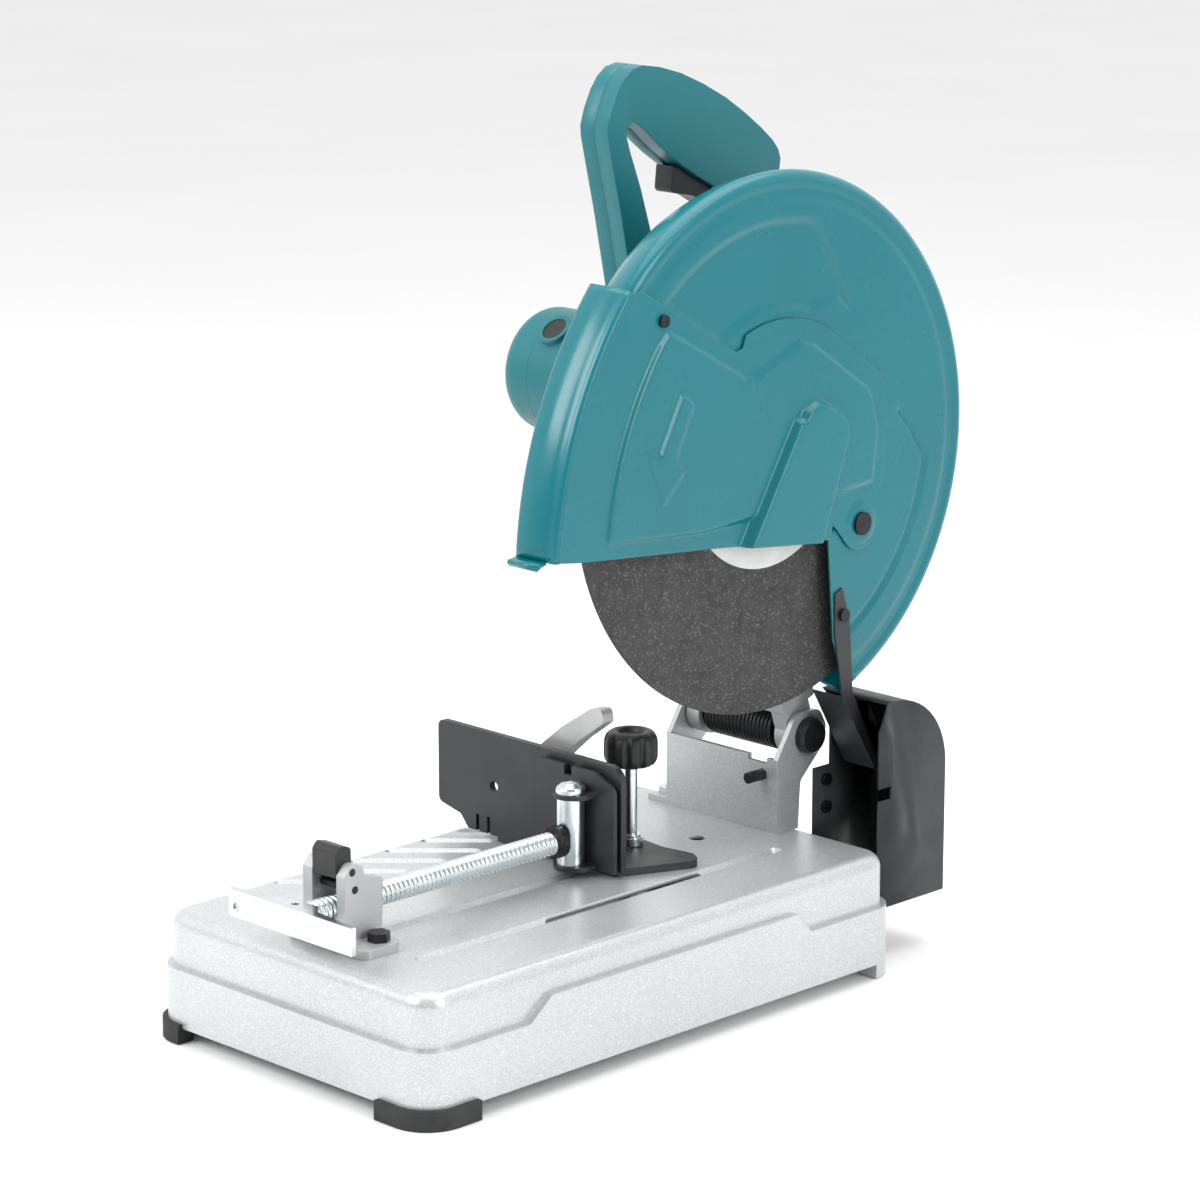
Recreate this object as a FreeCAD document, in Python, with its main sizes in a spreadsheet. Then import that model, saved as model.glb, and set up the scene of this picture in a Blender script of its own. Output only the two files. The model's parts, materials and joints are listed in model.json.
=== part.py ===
import FreeCAD, Part
import math
import os
import re

# Abrasive chop saw. The frame is +X to the operator's right, +Y to the back, +Z up.
# The origin is on the floor under the middle of the whole machine. Millimetres.

doc = FreeCAD.newDocument("chop_saw")
V = FreeCAD.Vector

# ---------------------------------------------------------------- driving dimensions
SIZES = [
    ("base_width", 266, "skirt width at the hem"),
    ("base_length", 444, "skirt length at the hem"),
    ("base_mid_y", -57, "middle of the base, front to back"),
    ("table_z", 86, "height of the table"),
    ("hem_z", 10, "height of the skirt's lower edge"),
    ("step_z", 50, "height of the step round the skirt"),
    ("panel_z", 65, "top of the raised side panel"),
    ("step_in", 4.5, "how far the upper wall stands in from the skirt"),
    ("corner_radius", 24, "upright corners of the base"),
    ("table_edge", 10, "rounding of the table's edge"),
    ("base_sheet", 2, "thickness of the pressed base"),
    ("stripe_count", 6, "slanting grooves"),
    ("stripe_first", -72.8, "last slanting groove, measured across the slant"),
    ("stripe_pitch", 23.6, "slanting grooves, across the slant"),
    ("stripe_left", -117, "left ends of the slanting grooves"),
    ("stripe_right", -77, "right ends of the slanting grooves"),
    ("groove_depth", 4, "depth of the pressed grooves"),
    ("groove_width", 10, "width of the pressed grooves"),
    ("kerf_width", 8, "slot that the wheel dips through"),
    ("bolt_hole_radius", 5.5, "bench bolt holes"),
    ("bolt_hole_spacing", 112, "bench bolt holes, centre to centre"),
    ("bolt_hole_x", 11.5, "right bench bolt hole"),
    ("bolt_hole_y", 89, "bench bolt holes, front to back"),
    ("foot_height", 13, "rubber foot"),
    ("foot_length", 44, "rubber foot along each side"),
    ("foot_short", 30, "left foot along the front"),
    ("foot_proud", 4, "how far a foot stands out of the skirt"),
    ("blade_x", 68, "plane of the wheel"),
    ("wheel_radius", 177.5, "abrasive wheel, 355 mm across"),
    ("wheel_thick", 3, "abrasive wheel"),
    ("arbor_radius", 12.7, "one inch arbor"),
    ("wheel_y", 93, "wheel centre with the head up"),
    ("wheel_z", 366, "wheel centre with the head up"),
    ("pivot_y", 165, "head pivot"),
    ("pivot_z", 152, "head pivot"),
    ("shaft_radius", 9, "pivot shaft"),
    ("bracket_left", -62, "left face of the pivot bracket"),
    ("bracket_right", 45, "right face of the pivot bracket"),
    ("bracket_front", 134, "front face of the pivot bracket"),
    ("bracket_top", 139, "top of the bracket's front plate"),
    ("bracket_sheet", 4, "pivot bracket"),
    ("spring_radius", 15.5, "outside of the return spring"),
    ("spring_wire", 3.5, "return spring"),
    ("spark_left", 48, "left wall of the spark guard"),
    ("spark_right", 110, "right wall of the spark guard"),
    ("spark_front", 167, "front of the spark guard"),
    ("spark_back", 237, "back of the spark guard"),
    ("spark_top", 185, "top of the spark guard"),
    ("spark_bottom", 38, "lower edge of the spark guard"),
    ("sheet", 1.6, "guard sheet"),
    ("guard_radius", 191, "wheel guard, outside"),
    ("guard_left", 47, "left wall of the wheel guard"),
    ("guard_right", 81, "right face of the wheel guard"),
    ("guard_taper", 8, "how much smaller the wheel guard is at its left wall"),
    ("guard_edge", 8, "rounding of the wheel guard's edge"),
    ("cover_gap", 0.4, "between the wheel guard and its safety cover"),
    ("cover_pivot_y", 81, "cover pivot behind the wheel centre"),
    ("cover_pivot_z", -58, "cover pivot above the wheel centre"),
    ("boss_height", 10, "raised centre of the safety cover"),
    ("vise_x", 9.5, "vise screw"),
    ("vise_z", 112, "vise screw"),
    ("screw_radius", 8, "vise screw"),
    ("screw_front", -282, "front end of the vise screw"),
    ("trunnion_y", -32, "vise trunnion"),
    ("trunnion_radius", 9.5, "vise trunnion"),
    ("fence_y", -15.5, "front face of the guide plate"),
    ("fence_left", -139, "left end of the guide plate"),
    ("fence_right", 41, "right end of the guide plate"),
    ("fence_top", 163, "top of the guide plate"),
    ("fence_thick", 5, "guide plate"),
    ("fence_gap", 4, "between the table and the guide plate"),
    ("jaw_left", -34, "left end of the vise jaw"),
    ("jaw_right", 40, "right end of the vise jaw"),
    ("jaw_top", 158, "vise jaw plate"),
    ("jaw_thick", 3, "vise jaw plate"),
    ("crank_left", 55.5, "vise handle, from the screw to its left end"),
    ("crank_right", 62.5, "vise handle, from the screw to its right end"),
    ("jaw_gap", 3, "between the vise jaw and the guide plate"),
    ("crank_height", 18.5, "vise handle"),
    ("lever_x", -61, "guide plate pivot bolt"),
    ("lever_y", 4, "guide plate pivot bolt"),
    ("knob_x", 2, "guide plate clamp knob"),
    ("knob_y", 33, "guide plate clamp knob"),
    ("knob_z", 148.5, "underside of the clamp knob"),
    ("knob_radius", 18.5, "clamp knob"),
    ("knob_height", 24.5, "clamp knob"),
    ("clamp_radius", 4.5, "clamp screw"),
    ("gear_module", 2, "reduction gears"),
    ("pinion_teeth", 8, "teeth on the armature"),
    ("gear_teeth", 43, "teeth on the spindle gear"),
    ("motor_turn", 128.7, "direction of the motor axis from the spindle, degrees from +Y"),
    ("motor_radius", 43, "motor housing"),
    ("motor_left", -113, "left end of the motor"),
    ("motor_cap", -84, "joint between motor housing and end cap"),
    ("motor_wall", 3, "motor housing"),
    ("case_left", 3, "left face of the gear case"),
    ("case_right", 46.9, "right face of the gear case"),
    ("case_radius", 53, "gear case round the spindle gear"),
    ("handle_x", -32, "parting plane of the handle"),
    ("handle_half", 13, "half the handle's width"),
    ("fit", 0.05, "running clearance on radius"),
    ("rotor_fit", 0.09, "clearance on radius of the armature in its bearings"),
    ("gap", 0.4, "clearance between moving pieces"),
]

sheet = doc.addObject("Spreadsheet::Sheet", "dims")
for row, (alias, value, note) in enumerate(SIZES, 1):
    sheet.set("A%d" % row, note)
    sheet.set("B%d" % row, str(value))
    sheet.setAlias("B%d" % row, alias)
doc.recompute()


class Sizes:
    """The sheet's numbers, read by alias."""

    def __getattr__(self, alias):
        return float(sheet.get(alias))


d = Sizes()
ALIASES = {alias for alias, value, note in SIZES}
NODES = {}
TURN = {
    "x": FreeCAD.Rotation(V(0, 1, 0), 90),
    "y": FreeCAD.Rotation(V(1, 0, 0), -90),
    "z": FreeCAD.Rotation(),
}


# ---------------------------------------------------------------- small helpers
def cell(text):
    """An expression over the sheet: bare aliases become dims.alias."""
    return re.sub(r"[a-z_]+", lambda m: "dims." + m.group() if m.group() in ALIASES else m.group(), str(text))


def bind(thing, **fields):
    for field, text in fields.items():
        thing.setExpression(field.replace("__", "."), cell(text))


def place(thing, start):
    for letter, text in zip("xyz", start):
        thing.setExpression("Placement.Base." + letter, cell(text))


def cylinder(name, axis, start, length, radius):
    """A round bar along x, y or z from its start point."""
    bar = doc.addObject("Part::Cylinder", name)
    bar.Placement = FreeCAD.Placement(V(), TURN[axis])
    bind(bar, Height=length, Radius=radius)
    place(bar, start)
    return bar


def box(name, corner, size):
    block = doc.addObject("Part::Box", name)
    bind(block, Length=size[0], Width=size[1], Height=size[2])
    place(block, corner)
    return block


def cut(name, base, tool):
    left = doc.addObject("Part::Cut", name)
    left.Base = base
    left.Tool = tool
    return left


def fuse(name, *parts):
    whole = doc.addObject("Part::MultiFuse", name)
    whole.Shapes = list(parts)
    return whole


def common(name, first, second):
    shared = doc.addObject("Part::Common", name)
    shared.Base = first
    shared.Tool = second
    return shared


def group(name, *parts):
    several = doc.addObject("Part::Compound", name)
    several.Links = list(parts)
    return several


def tube(name, axis, start, length, radius, bore):
    """A round bar with a through bore."""
    outer = cylinder(name + "_outer", axis, start, length, radius)
    inner = cylinder(name + "_bore", axis, start, length, bore)
    return cut(name, outer, inner)


def rounded(name, solid, radius, chosen):
    """Round the edges that the test picks."""
    doc.recompute()
    picked = [i for i, edge in enumerate(solid.Shape.Edges, 1) if chosen(edge)]
    smooth = doc.addObject("Part::Fillet", name)
    smooth.Base = solid
    smooth.Edges = [(i, radius, radius) for i in picked]
    return smooth


def outline(points, radius=0.0):
    """Closed lines through the points, each corner an arc where a radius is given."""
    count = len(points)
    corners = []
    for i, point in enumerate(points):
        here = V(point[0], point[1], 0)
        turn = point[2] if len(point) > 2 else radius
        before = V(*points[i - 1][:2], 0)
        after = V(*points[(i + 1) % count][:2], 0)
        back = (before - here).normalize()
        ahead = (after - here).normalize()
        half = back.getAngle(ahead) / 2
        if turn <= 0 or half > math.pi / 2 - 0.01:
            corners.append((here, here, None))
            continue
        reach = turn / math.tan(half)
        middle = here + (back + ahead).normalize() * (turn / math.sin(half) - turn)
        corners.append((here + back * reach, here + ahead * reach, middle))
    edges = []
    for i, (enter, leave, middle) in enumerate(corners):
        if middle is not None:
            edges.append(Part.Arc(enter, middle, leave))
        goal = corners[(i + 1) % count][0]
        if leave.distanceToPoint(goal) > 1e-6:
            edges.append(Part.LineSegment(leave, goal))
    return edges


PLANES = {"x": "YZ_Plane", "y": "XZ_Plane", "z": "XY_Plane"}


def prism(name, axis, edges, start, length):
    """A PartDesign body: one sketch, padded along x, y or z from start."""
    body = doc.addObject("PartDesign::Body", name)
    plane = [p for p in body.Origin.OriginFeatures if p.Role == PLANES[axis]][0]
    sketch = body.newObject("Sketcher::SketchObject", name + "_sketch")
    sketch.AttachmentSupport = [(plane, "")]
    sketch.MapMode = "FlatFace"
    sketch.addGeometry(edges, False)
    pad = body.newObject("PartDesign::Pad", name + "_pad")
    pad.Profile = sketch
    bind(pad, Length=length)
    shift = "-(%s) - (%s)" % (start, length) if axis == "y" else start
    sketch.setExpression("AttachmentOffset.Base.z", cell(shift))
    body.Tip = pad
    return body


def turned(name, profile, origin, axis="x"):
    """A PartDesign body turned about a line along x or z: profile is (along, radius)."""
    body = doc.addObject("PartDesign::Body", name)
    plane = [p for p in body.Origin.OriginFeatures if p.Role == "XZ_Plane"][0]
    sketch = body.newObject("Sketcher::SketchObject", name + "_sketch")
    sketch.AttachmentSupport = [(plane, "")]
    sketch.MapMode = "FlatFace"
    flat = profile if axis == "x" else [(p[1], p[0]) for p in profile]
    sketch.addGeometry(outline(flat), False)
    spin = body.newObject("PartDesign::Revolution", name + "_turn")
    spin.Profile = sketch
    spin.ReferenceAxis = (sketch, ["H_Axis" if axis == "x" else "V_Axis"])
    spin.Angle = 360
    body.Tip = spin
    place(body, origin)
    return body


def turned_bar(name, start, direction, length, radius):
    """A round bar along any direction."""
    bar = doc.addObject("Part::Cylinder", name)
    bind(bar, Radius=radius, Height=length)
    bar.Placement = FreeCAD.Placement(start, FreeCAD.Rotation(V(0, 0, 1), direction))
    return bar


def node(name, solid):
    """Name a finished sub-part."""
    solid.Label = name
    NODES[name] = solid
    return solid


def about(points, y, z):
    """Outline points given from a centre."""
    return [(y + p[0], z + p[1]) + tuple(p[2:]) for p in points]


def ring_points(radius, angles):
    return [(radius * math.cos(math.radians(a)), radius * math.sin(math.radians(a))) for a in angles]


def hexagon(name, axis, centre, start, length, across):
    """A hexagonal head or nut."""
    points = [(centre[0] + p[0], centre[1] + p[1]) for p in ring_points(across / math.sqrt(3), range(0, 360, 60))]
    return prism(name, axis, outline(points), start, length)


def hex_bolt(name, x, y, z, reach, radius, across, head):
    """An upright hexagon bolt: shank down from z, head up from z."""
    top = hexagon(name + "_head", "z", (x, y), str(z), str(head), across)
    shank = cylinder(name + "_shank", "z", (str(x), str(y), "%s - %s" % (z, reach)), str(reach), str(radius))
    return fuse(name, top, shank)


# ---------------------------------------------------------------- base
def rectangle(width, length, turn):
    x = width / 2
    front = d.base_mid_y - length / 2
    back = d.base_mid_y + length / 2
    return outline([(-x, front), (x, front), (x, back), (-x, back)], turn)


def slot_points(x0, y0, x1, y1, width):
    """Corners of a long slot between two end points."""
    along = V(x1 - x0, y1 - y0, 0).normalize()
    side = V(-along.y, along.x, 0) * (width / 2)
    start = V(x0, y0, 0) - along * (width / 2)
    end = V(x1, y1, 0) + along * (width / 2)
    return [(p.x, p.y) for p in (start - side, end - side, end + side, start + side)]


def grooves():
    """End points of the pressed grooves: wheel groove, vise groove, then the slanting ones."""
    middle = d.base_mid_y
    lines = [(d.blade_x, middle - 164, d.blade_x, middle + 164), (d.vise_x, middle - 143, d.vise_x, middle + 60)]
    root = math.sqrt(2)
    for i in range(int(d.stripe_count)):
        across = (d.stripe_first + i * d.stripe_pitch) * root
        lines.append((d.stripe_left, d.stripe_left - across, d.stripe_right, d.stripe_right - across))
    return lines


def trench(name, ends, width, depth, top):
    """One groove's solid: a long slot whose floor is narrower than its mouth."""
    across = width - 2 * depth
    mouth = Part.Wire([e.toShape() for e in outline(slot_points(*ends, width), width * 0.49)])
    floor = Part.Wire([e.toShape() for e in outline(slot_points(*ends, max(across, 1.0)), max(across, 1.0) * 0.49)])
    mouth.translate(V(0, 0, top))
    floor.translate(V(0, 0, top - depth))
    solid = doc.addObject("Part::Feature", name)
    solid.Shape = Part.makeLoft([mouth, floor], True, True)
    return solid


def base_plate():
    inner = d.base_sheet
    upper_w = d.base_width - 2 * d.step_in
    upper_l = d.base_length - 2 * d.step_in
    turn = d.corner_radius
    skirt = prism("skirt", "z", rectangle(d.base_width, d.base_length, turn), "hem_z", "step_z - hem_z")
    upper = prism("upper_wall", "z", rectangle(upper_w, upper_l, turn - d.step_in), "hem_z", "table_z - hem_z")
    middle = d.base_mid_y
    panel = [(middle - 133, d.step_z - 1), (middle - 112, d.panel_z), (middle + 117, d.panel_z),
             (middle + 132, d.step_z - 1)]
    panels = prism("side_panels", "x", outline(panel), "-base_width / 2", "base_width")
    outer = fuse("base_blank", skirt, common("side_panel_bars", panels, prism(
        "panel_limit", "z", rectangle(d.base_width, d.base_length, turn), "hem_z", "table_z")), upper)
    smooth = rounded("base_outer", outer, d.table_edge,
                     lambda e: min(v.Z for v in e.Vertexes) > d.table_z - 0.01)
    legs = common("rear_legs", prism("leg_ring", "z", rectangle(d.base_width, d.base_length, turn), "0", "hem_z"),
                  fuse("leg_boxes",
                       box("leg_box_left", ("-base_width / 2", "base_mid_y + base_length / 2 - corner_radius", "0"),
                           ("corner_radius", "corner_radius", "hem_z")),
                       box("leg_box_right", ("base_width / 2 - corner_radius",
                                             "base_mid_y + base_length / 2 - corner_radius", "0"),
                           ("corner_radius", "corner_radius", "hem_z"))))
    shell = fuse("base_solid", smooth, legs)
    lower = prism("cavity_low", "z", rectangle(d.base_width - 2 * inner, d.base_length - 2 * inner, turn - inner),
                  "hem_z + base_sheet", "step_z - hem_z - 2 * base_sheet")
    inset = 2 * (d.step_in + inner)
    block = prism("cavity_high_block", "z", rectangle(d.base_width - inset, d.base_length - inset, turn - inset / 2),
                  "hem_z + base_sheet", "table_z - hem_z - 2 * base_sheet")
    high = rounded("cavity_high", block, d.table_edge - inner,
                   lambda e: min(v.Z for v in e.Vertexes) > d.table_z - inner - 0.01)
    mouth = prism("cavity_mouth", "z", rectangle(d.base_width - 40, d.base_length - 40, turn - 20),
                  "-1", "hem_z + 5")
    cavity = fuse("cavity_blank", lower, high, mouth)
    lines = grooves()
    fill = [trench("groove_skin_%d" % i, ends, d.groove_width + 2 * inner, d.groove_depth + inner, d.table_z)
            for i, ends in enumerate(lines)]
    cavity = cut("cavity", cavity, fuse("groove_skins", *fill))
    holes = [trench("groove_%d" % i, ends, d.groove_width, d.groove_depth, d.table_z)
             for i, ends in enumerate(lines)]
    for i, (x, y, radius) in enumerate(table_holes()):
        holes.append(cylinder("table_hole_%d" % i, "z", (str(x), str(y), "table_z - 20"), "21", str(radius)))
    slot = slot_points(d.blade_x, d.base_mid_y - 50, d.blade_x, d.base_mid_y + 90, d.kerf_width)
    holes.append(prism("wheel_kerf", "z", outline(slot, d.kerf_width * 0.49), "table_z - 20", "21"))
    tub = cut("tub", shell, cavity)
    node("base", cut("base_body", tub, fuse("table_cuts", *holes)))


def table_holes():
    """Holes in the table: bench bolts, bracket bolts, vise block bolts, guide plate screws."""
    left = d.bolt_hole_x - d.bolt_hole_spacing
    holes = [(d.bolt_hole_x, d.bolt_hole_y, d.bolt_hole_radius), (left, d.bolt_hole_y, d.bolt_hole_radius)]
    holes += [(x, y, 4.0) for x, y in bracket_bolt_places()]
    holes += [(x, y, 4.0) for x, y in block_bolt_places()]
    holes += [(d.knob_x, d.knob_y, d.clamp_radius), (d.lever_x, d.lever_y, 5.0)]
    return holes


def bracket_bolt_places():
    return [(x, y) for x in (d.bracket_left - 9, d.bracket_right - d.bracket_sheet - 9)
            for y in (d.bracket_front + 12,)]


def block_bolt_places():
    return [(d.vise_x - 31, d.screw_front + 53), (d.vise_x + 26, d.screw_front + 53)]


def feet():
    pads = []
    proud = d.foot_proud
    ring = prism("foot_ring", "z", rectangle(d.base_width + 2 * proud, d.base_length + 2 * proud,
                                             d.corner_radius + proud), "0", "foot_height")
    inside = prism("foot_inside", "z", rectangle(d.base_width - 18, d.base_length - 18, d.corner_radius - 9),
                   "-1", "foot_height + 2")
    groove = prism("foot_groove", "z", rectangle(d.base_width, d.base_length, d.corner_radius), "hem_z", "9")
    frame = cut("foot_frame", ring, fuse("foot_cuts", inside, groove))
    for name, start, across in (("foot_left", "-base_width / 2 - foot_proud", "foot_short + foot_proud"),
                                ("foot_right", "base_width / 2 - foot_length", "foot_length + foot_proud")):
        limit = box(name + "_limit", (start, "base_mid_y - base_length / 2 - foot_proud", "0"),
                    (across, "foot_length + foot_proud", "foot_height"))
        pads.append(common(name, frame, limit))
    node("front_feet", group("front_foot_pair", *pads))


# ---------------------------------------------------------------- pivot
def ear_outline(turn):
    """Side ear of the bracket, in (y, z)."""
    front = d.bracket_front
    return outline([(front, d.table_z), (front, d.bracket_top, 3), (d.pivot_y - 20, d.pivot_z + 4, 6),
                    (d.pivot_y - 12, d.pivot_z + turn - 2, 8), (d.pivot_y + 12, d.pivot_z + turn - 2, 8),
                    (d.pivot_y + turn, d.pivot_z + 4, 6), (d.pivot_y + turn - 3, d.pivot_z - 10, 6),
                    (front + 24, d.pivot_z - 32, 6), (front + 22, d.table_z)])


def bracket():
    wall = "bracket_sheet"
    left = prism("ear_left", "x", ear_outline(19), "bracket_left", wall)
    right = prism("ear_right", "x", ear_outline(19), "bracket_right - bracket_sheet", wall)
    front = box("bracket_front_plate", ("bracket_left", "bracket_front", "table_z"),
                ("bracket_right - bracket_left", wall, "bracket_top - table_z"))
    floor = box("bracket_floor", ("bracket_left", "bracket_front", "table_z"),
                ("bracket_right - bracket_left", "22", wall))
    tab = box("bracket_tab", ("bracket_left - 18", "bracket_front", "table_z"), ("18", "22", wall))
    body = fuse("bracket_blank", left, right, front, floor, tab)
    cuts = [cylinder("bracket_bore", "x", ("bracket_left - 1", "pivot_y", "pivot_z"),
                     "bracket_right - bracket_left + 2", "shaft_radius + fit"),
            cylinder("stop_pin_bore", "y", ("31", "bracket_front - 1", "127"), "bracket_sheet + 2", "4 + fit"),
            box("bracket_notch", ("17", "bracket_front - 1", "bracket_top - 4"), ("18", "bracket_sheet + 2", "5"))]
    for i, (x, y) in enumerate(bracket_bolt_places()):
        cuts.append(cylinder("bracket_hole_%d" % i, "z", (str(x), str(y), "table_z - 1"), "bracket_sheet + 2", "4"))
    node("pivot_bracket", cut("bracket_body", body, fuse("bracket_cuts", *cuts)))
    bolts = [hex_bolt("bracket_bolt_%d" % i, x, y, d.table_z + d.bracket_sheet, 14, 3.95, 13, 5)
             for i, (x, y) in enumerate(bracket_bolt_places())]
    node("bracket_bolts", group("bracket_bolt_pair", *bolts))


def pivot():
    reach = d.bracket_right - d.bracket_left
    r = d.shaft_radius
    bar = [(-6, 0), (reach + 7, 0), (reach + 7, 11), (reach + 5, 13), (reach + 0.2, 13), (reach + 0.2, r),
           (-2.2, r), (-2.2, r - 1), (-4, r - 1), (-4, r), (-6, r)]
    node("pivot_shaft", turned("pivot_shaft_body", bar, ("bracket_left", "pivot_y", "pivot_z")))
    node("shaft_clip", tube("shaft_clip_body", "x", ("bracket_left - 3.8", "pivot_y", "pivot_z"), "1.5",
                            "shaft_radius + 4", "shaft_radius - 1"))
    bushes = [tube("arm_bush_%d" % i, "x", (start, "pivot_y", "pivot_z"), "12", "12", "shaft_radius + fit")
              for i, start in enumerate(("bracket_left + 5", "bracket_right - 17"))]
    node("arm_bushes", group("arm_bush_pair", *bushes))
    coil = tube("spring_coil", "x", ("bracket_left + 20", "pivot_y", "pivot_z"),
                "bracket_right - bracket_left - 40", "spring_radius", "spring_radius - spring_wire")
    legs = [box("spring_leg_%d" % i, (start, "%s - 13.5" % d.pivot_y, "pivot_z"), ("spring_wire", "3", reach))
            for i, (start, reach) in enumerate((("bracket_left + 21", "14"), ("bracket_right - 24", "14")))]
    node("return_spring", fuse("return_spring_body", coil, *legs))
    pin_y, pin_z = d.bracket_front - 15, 127
    stem = cylinder("stop_pin_stem", "y", ("31", str(pin_y), str(pin_z)), "26", "4")
    node("stop_pin", stem)


def spark_box():
    front, back, top, low = d.spark_front, d.spark_back, d.spark_top, d.spark_bottom
    chute = front + 31
    side = [(front, d.table_z + 1), (front, top - 20), (front + 9, top), (back, top, 54), (back, low), (chute, low),
            (chute, d.table_z + 1)]
    outer = prism("spark_outer", "x", outline(side), "spark_left", "spark_right - spark_left")
    wall = d.sheet
    hollow = [(front - 20, low - 20), (front - 20, top - wall), (back - wall, top - wall, 54 - wall),
              (back - wall, low - 20)]
    inner = prism("spark_inner", "x", outline(hollow), "spark_left + sheet", "spark_right - spark_left - 2 * sheet")
    notch = box("spark_notch", ("spark_right - 5", "%s - 1" % front, "table_z + 30"), ("10", "14", "9"))
    window = box("spark_clear", ("spark_left - 1", "%s - 1" % front, "pivot_z - 24"), ("6", "20", "60"))
    node("spark_guard", cut("spark_body", outer, fuse("spark_cuts", inner, notch, window)))
    pan = [cylinder("spark_screw_%d" % i, "x", ("spark_left + sheet", str(front + 12), str(z)), "2.5", "4.5")
           for i, z in enumerate((d.table_z + 12, d.table_z + 32))]
    node("spark_guard_screws", group("spark_screw_pair", *pan))


# ---------------------------------------------------------------- vise
def vise_block():
    x, front = d.vise_x, d.screw_front + 29.5
    flange = prism("block_flange", "z", outline([(x - 38, front), (x + 38, front), (x + 38, front + 34),
                                                 (x - 38, front + 34)], 8), "table_z", "6")
    cheeks = [(front + 3, d.table_z), (front + 3, 136, 2), (front + 10, 144, 6), (front + 18, 141, 3),
              (front + 21, 132, 3), (front + 36, 130, 3), (front + 34, d.table_z)]
    right = prism("block_cheek_right", "x", outline(cheeks), "vise_x + 9.2", "7.6")
    left = prism("block_cheek_left", "x", outline(cheeks), "vise_x - 23", "9")
    saddle = box("block_saddle", ("vise_x - 20", str(front + 3), "table_z"), ("34", "31", "vise_z - table_z"))
    blank = fuse("block_blank", flange, right, left, saddle)
    cuts = [cylinder("block_bore", "y", ("vise_x", str(front - 5), "vise_z"), "60", "screw_radius + gap"),
            box("block_top", ("vise_x - 14", str(front - 2), "vise_z - 3"), ("23.2", "40", "60")),
            box("block_notch", ("vise_x + 8", str(front - 1), "table_z - 1"), ("8", "5", "8"))]
    for i, (y, z) in enumerate(((front + 10, 138.0), (front + 12, 126.0))):
        cuts.append(cylinder("block_pin_hole_%d" % i, "x", ("vise_x - 25", str(y), str(z)), "50", "2.6"))
    for i, (bx, by) in enumerate(block_bolt_places()):
        cuts.append(cylinder("block_hole_%d" % i, "z", (str(bx), str(by), "table_z - 1"), "9", "4"))
    node("vise_block", cut("vise_block_body", blank, fuse("block_cuts", *cuts)))
    bolts = [hex_bolt("block_bolt_%d" % i, bx, by, d.table_z + 6, 14, 3.95, 13, 6)
             for i, (bx, by) in enumerate(block_bolt_places())]
    node("block_bolts", group("block_bolt_pair", *bolts))
    pins = [cylinder("block_pin_%d" % i, "x", ("vise_x - 23", str(y), str(z)), "39.8", "2.55")
            for i, (y, z) in enumerate(((front + 10, 138.0), (front + 12, 126.0)))]
    node("nut_pins", group("nut_pin_pair", *pins))
    nut = [(front + 3, 133, 2), (front + 3, 150, 3), (front + 7, 154, 2), (front + 16, 152, 3), (front + 16, 132, 2)]
    lever = prism("nut_lever", "x", outline(nut), "vise_x - 13.6", "22.4")
    heel = prism("nut_heel", "x", outline([(front + 14, 134), (front + 22, 133), (front + 31, 121.5),
                                           (front + 17, 121.5)], 1.5), "vise_x - 13.6", "22.4")
    nose = cut("nut_blank", fuse("nut_solid", lever, heel),
               fuse("nut_cuts", cylinder("nut_pin_bore", "x", ("vise_x - 14", str(front + 10), "138"), "28", "2.65"),
                    cylinder("nut_thread", "y", ("vise_x", str(front - 5), "vise_z"), "60", "screw_radius + 1.2")))
    node("flip_nut", nose)


def crank():
    """Channel arm on the screw's end, its flanges tapering to the ends."""
    left, right = d.vise_x - d.crank_left, d.vise_x + d.crank_right
    front = d.screw_front - 2.4
    web = box("crank_web", ("vise_x - crank_left", "screw_front - 2.4", "vise_z - crank_height / 2"),
              ("crank_left + crank_right", "2.2", "crank_height"))
    fin = outline([(left, front), (left, front + 4), (d.vise_x - 24, front + 7), (d.vise_x - 14, front + 15, 3),
                   (d.vise_x + 14, front + 15, 3), (d.vise_x + 24, front + 7), (right, front + 4), (right, front)])
    top = prism("crank_top", "z", fin, "vise_z + crank_height / 2 - 2", "2")
    low = prism("crank_low", "z", fin, "vise_z - crank_height / 2", "2")
    tab = box("crank_tab", ("vise_x + crank_right - 2", "screw_front - 2.4", "vise_z - crank_height / 2"),
              ("2", "4", "crank_height"))
    cuts = fuse("crank_cuts",
                cylinder("crank_hole", "y", ("vise_x - crank_left + 7", "screw_front - 5", "vise_z - 2"), "8", "3"),
                cylinder("crank_pin_bore", "z", ("vise_x", "screw_front + 6", "vise_z - 12"), "24", "2.5"))
    return cut("crank_body", fuse("crank_blank", web, top, low, tab), cuts)


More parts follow.
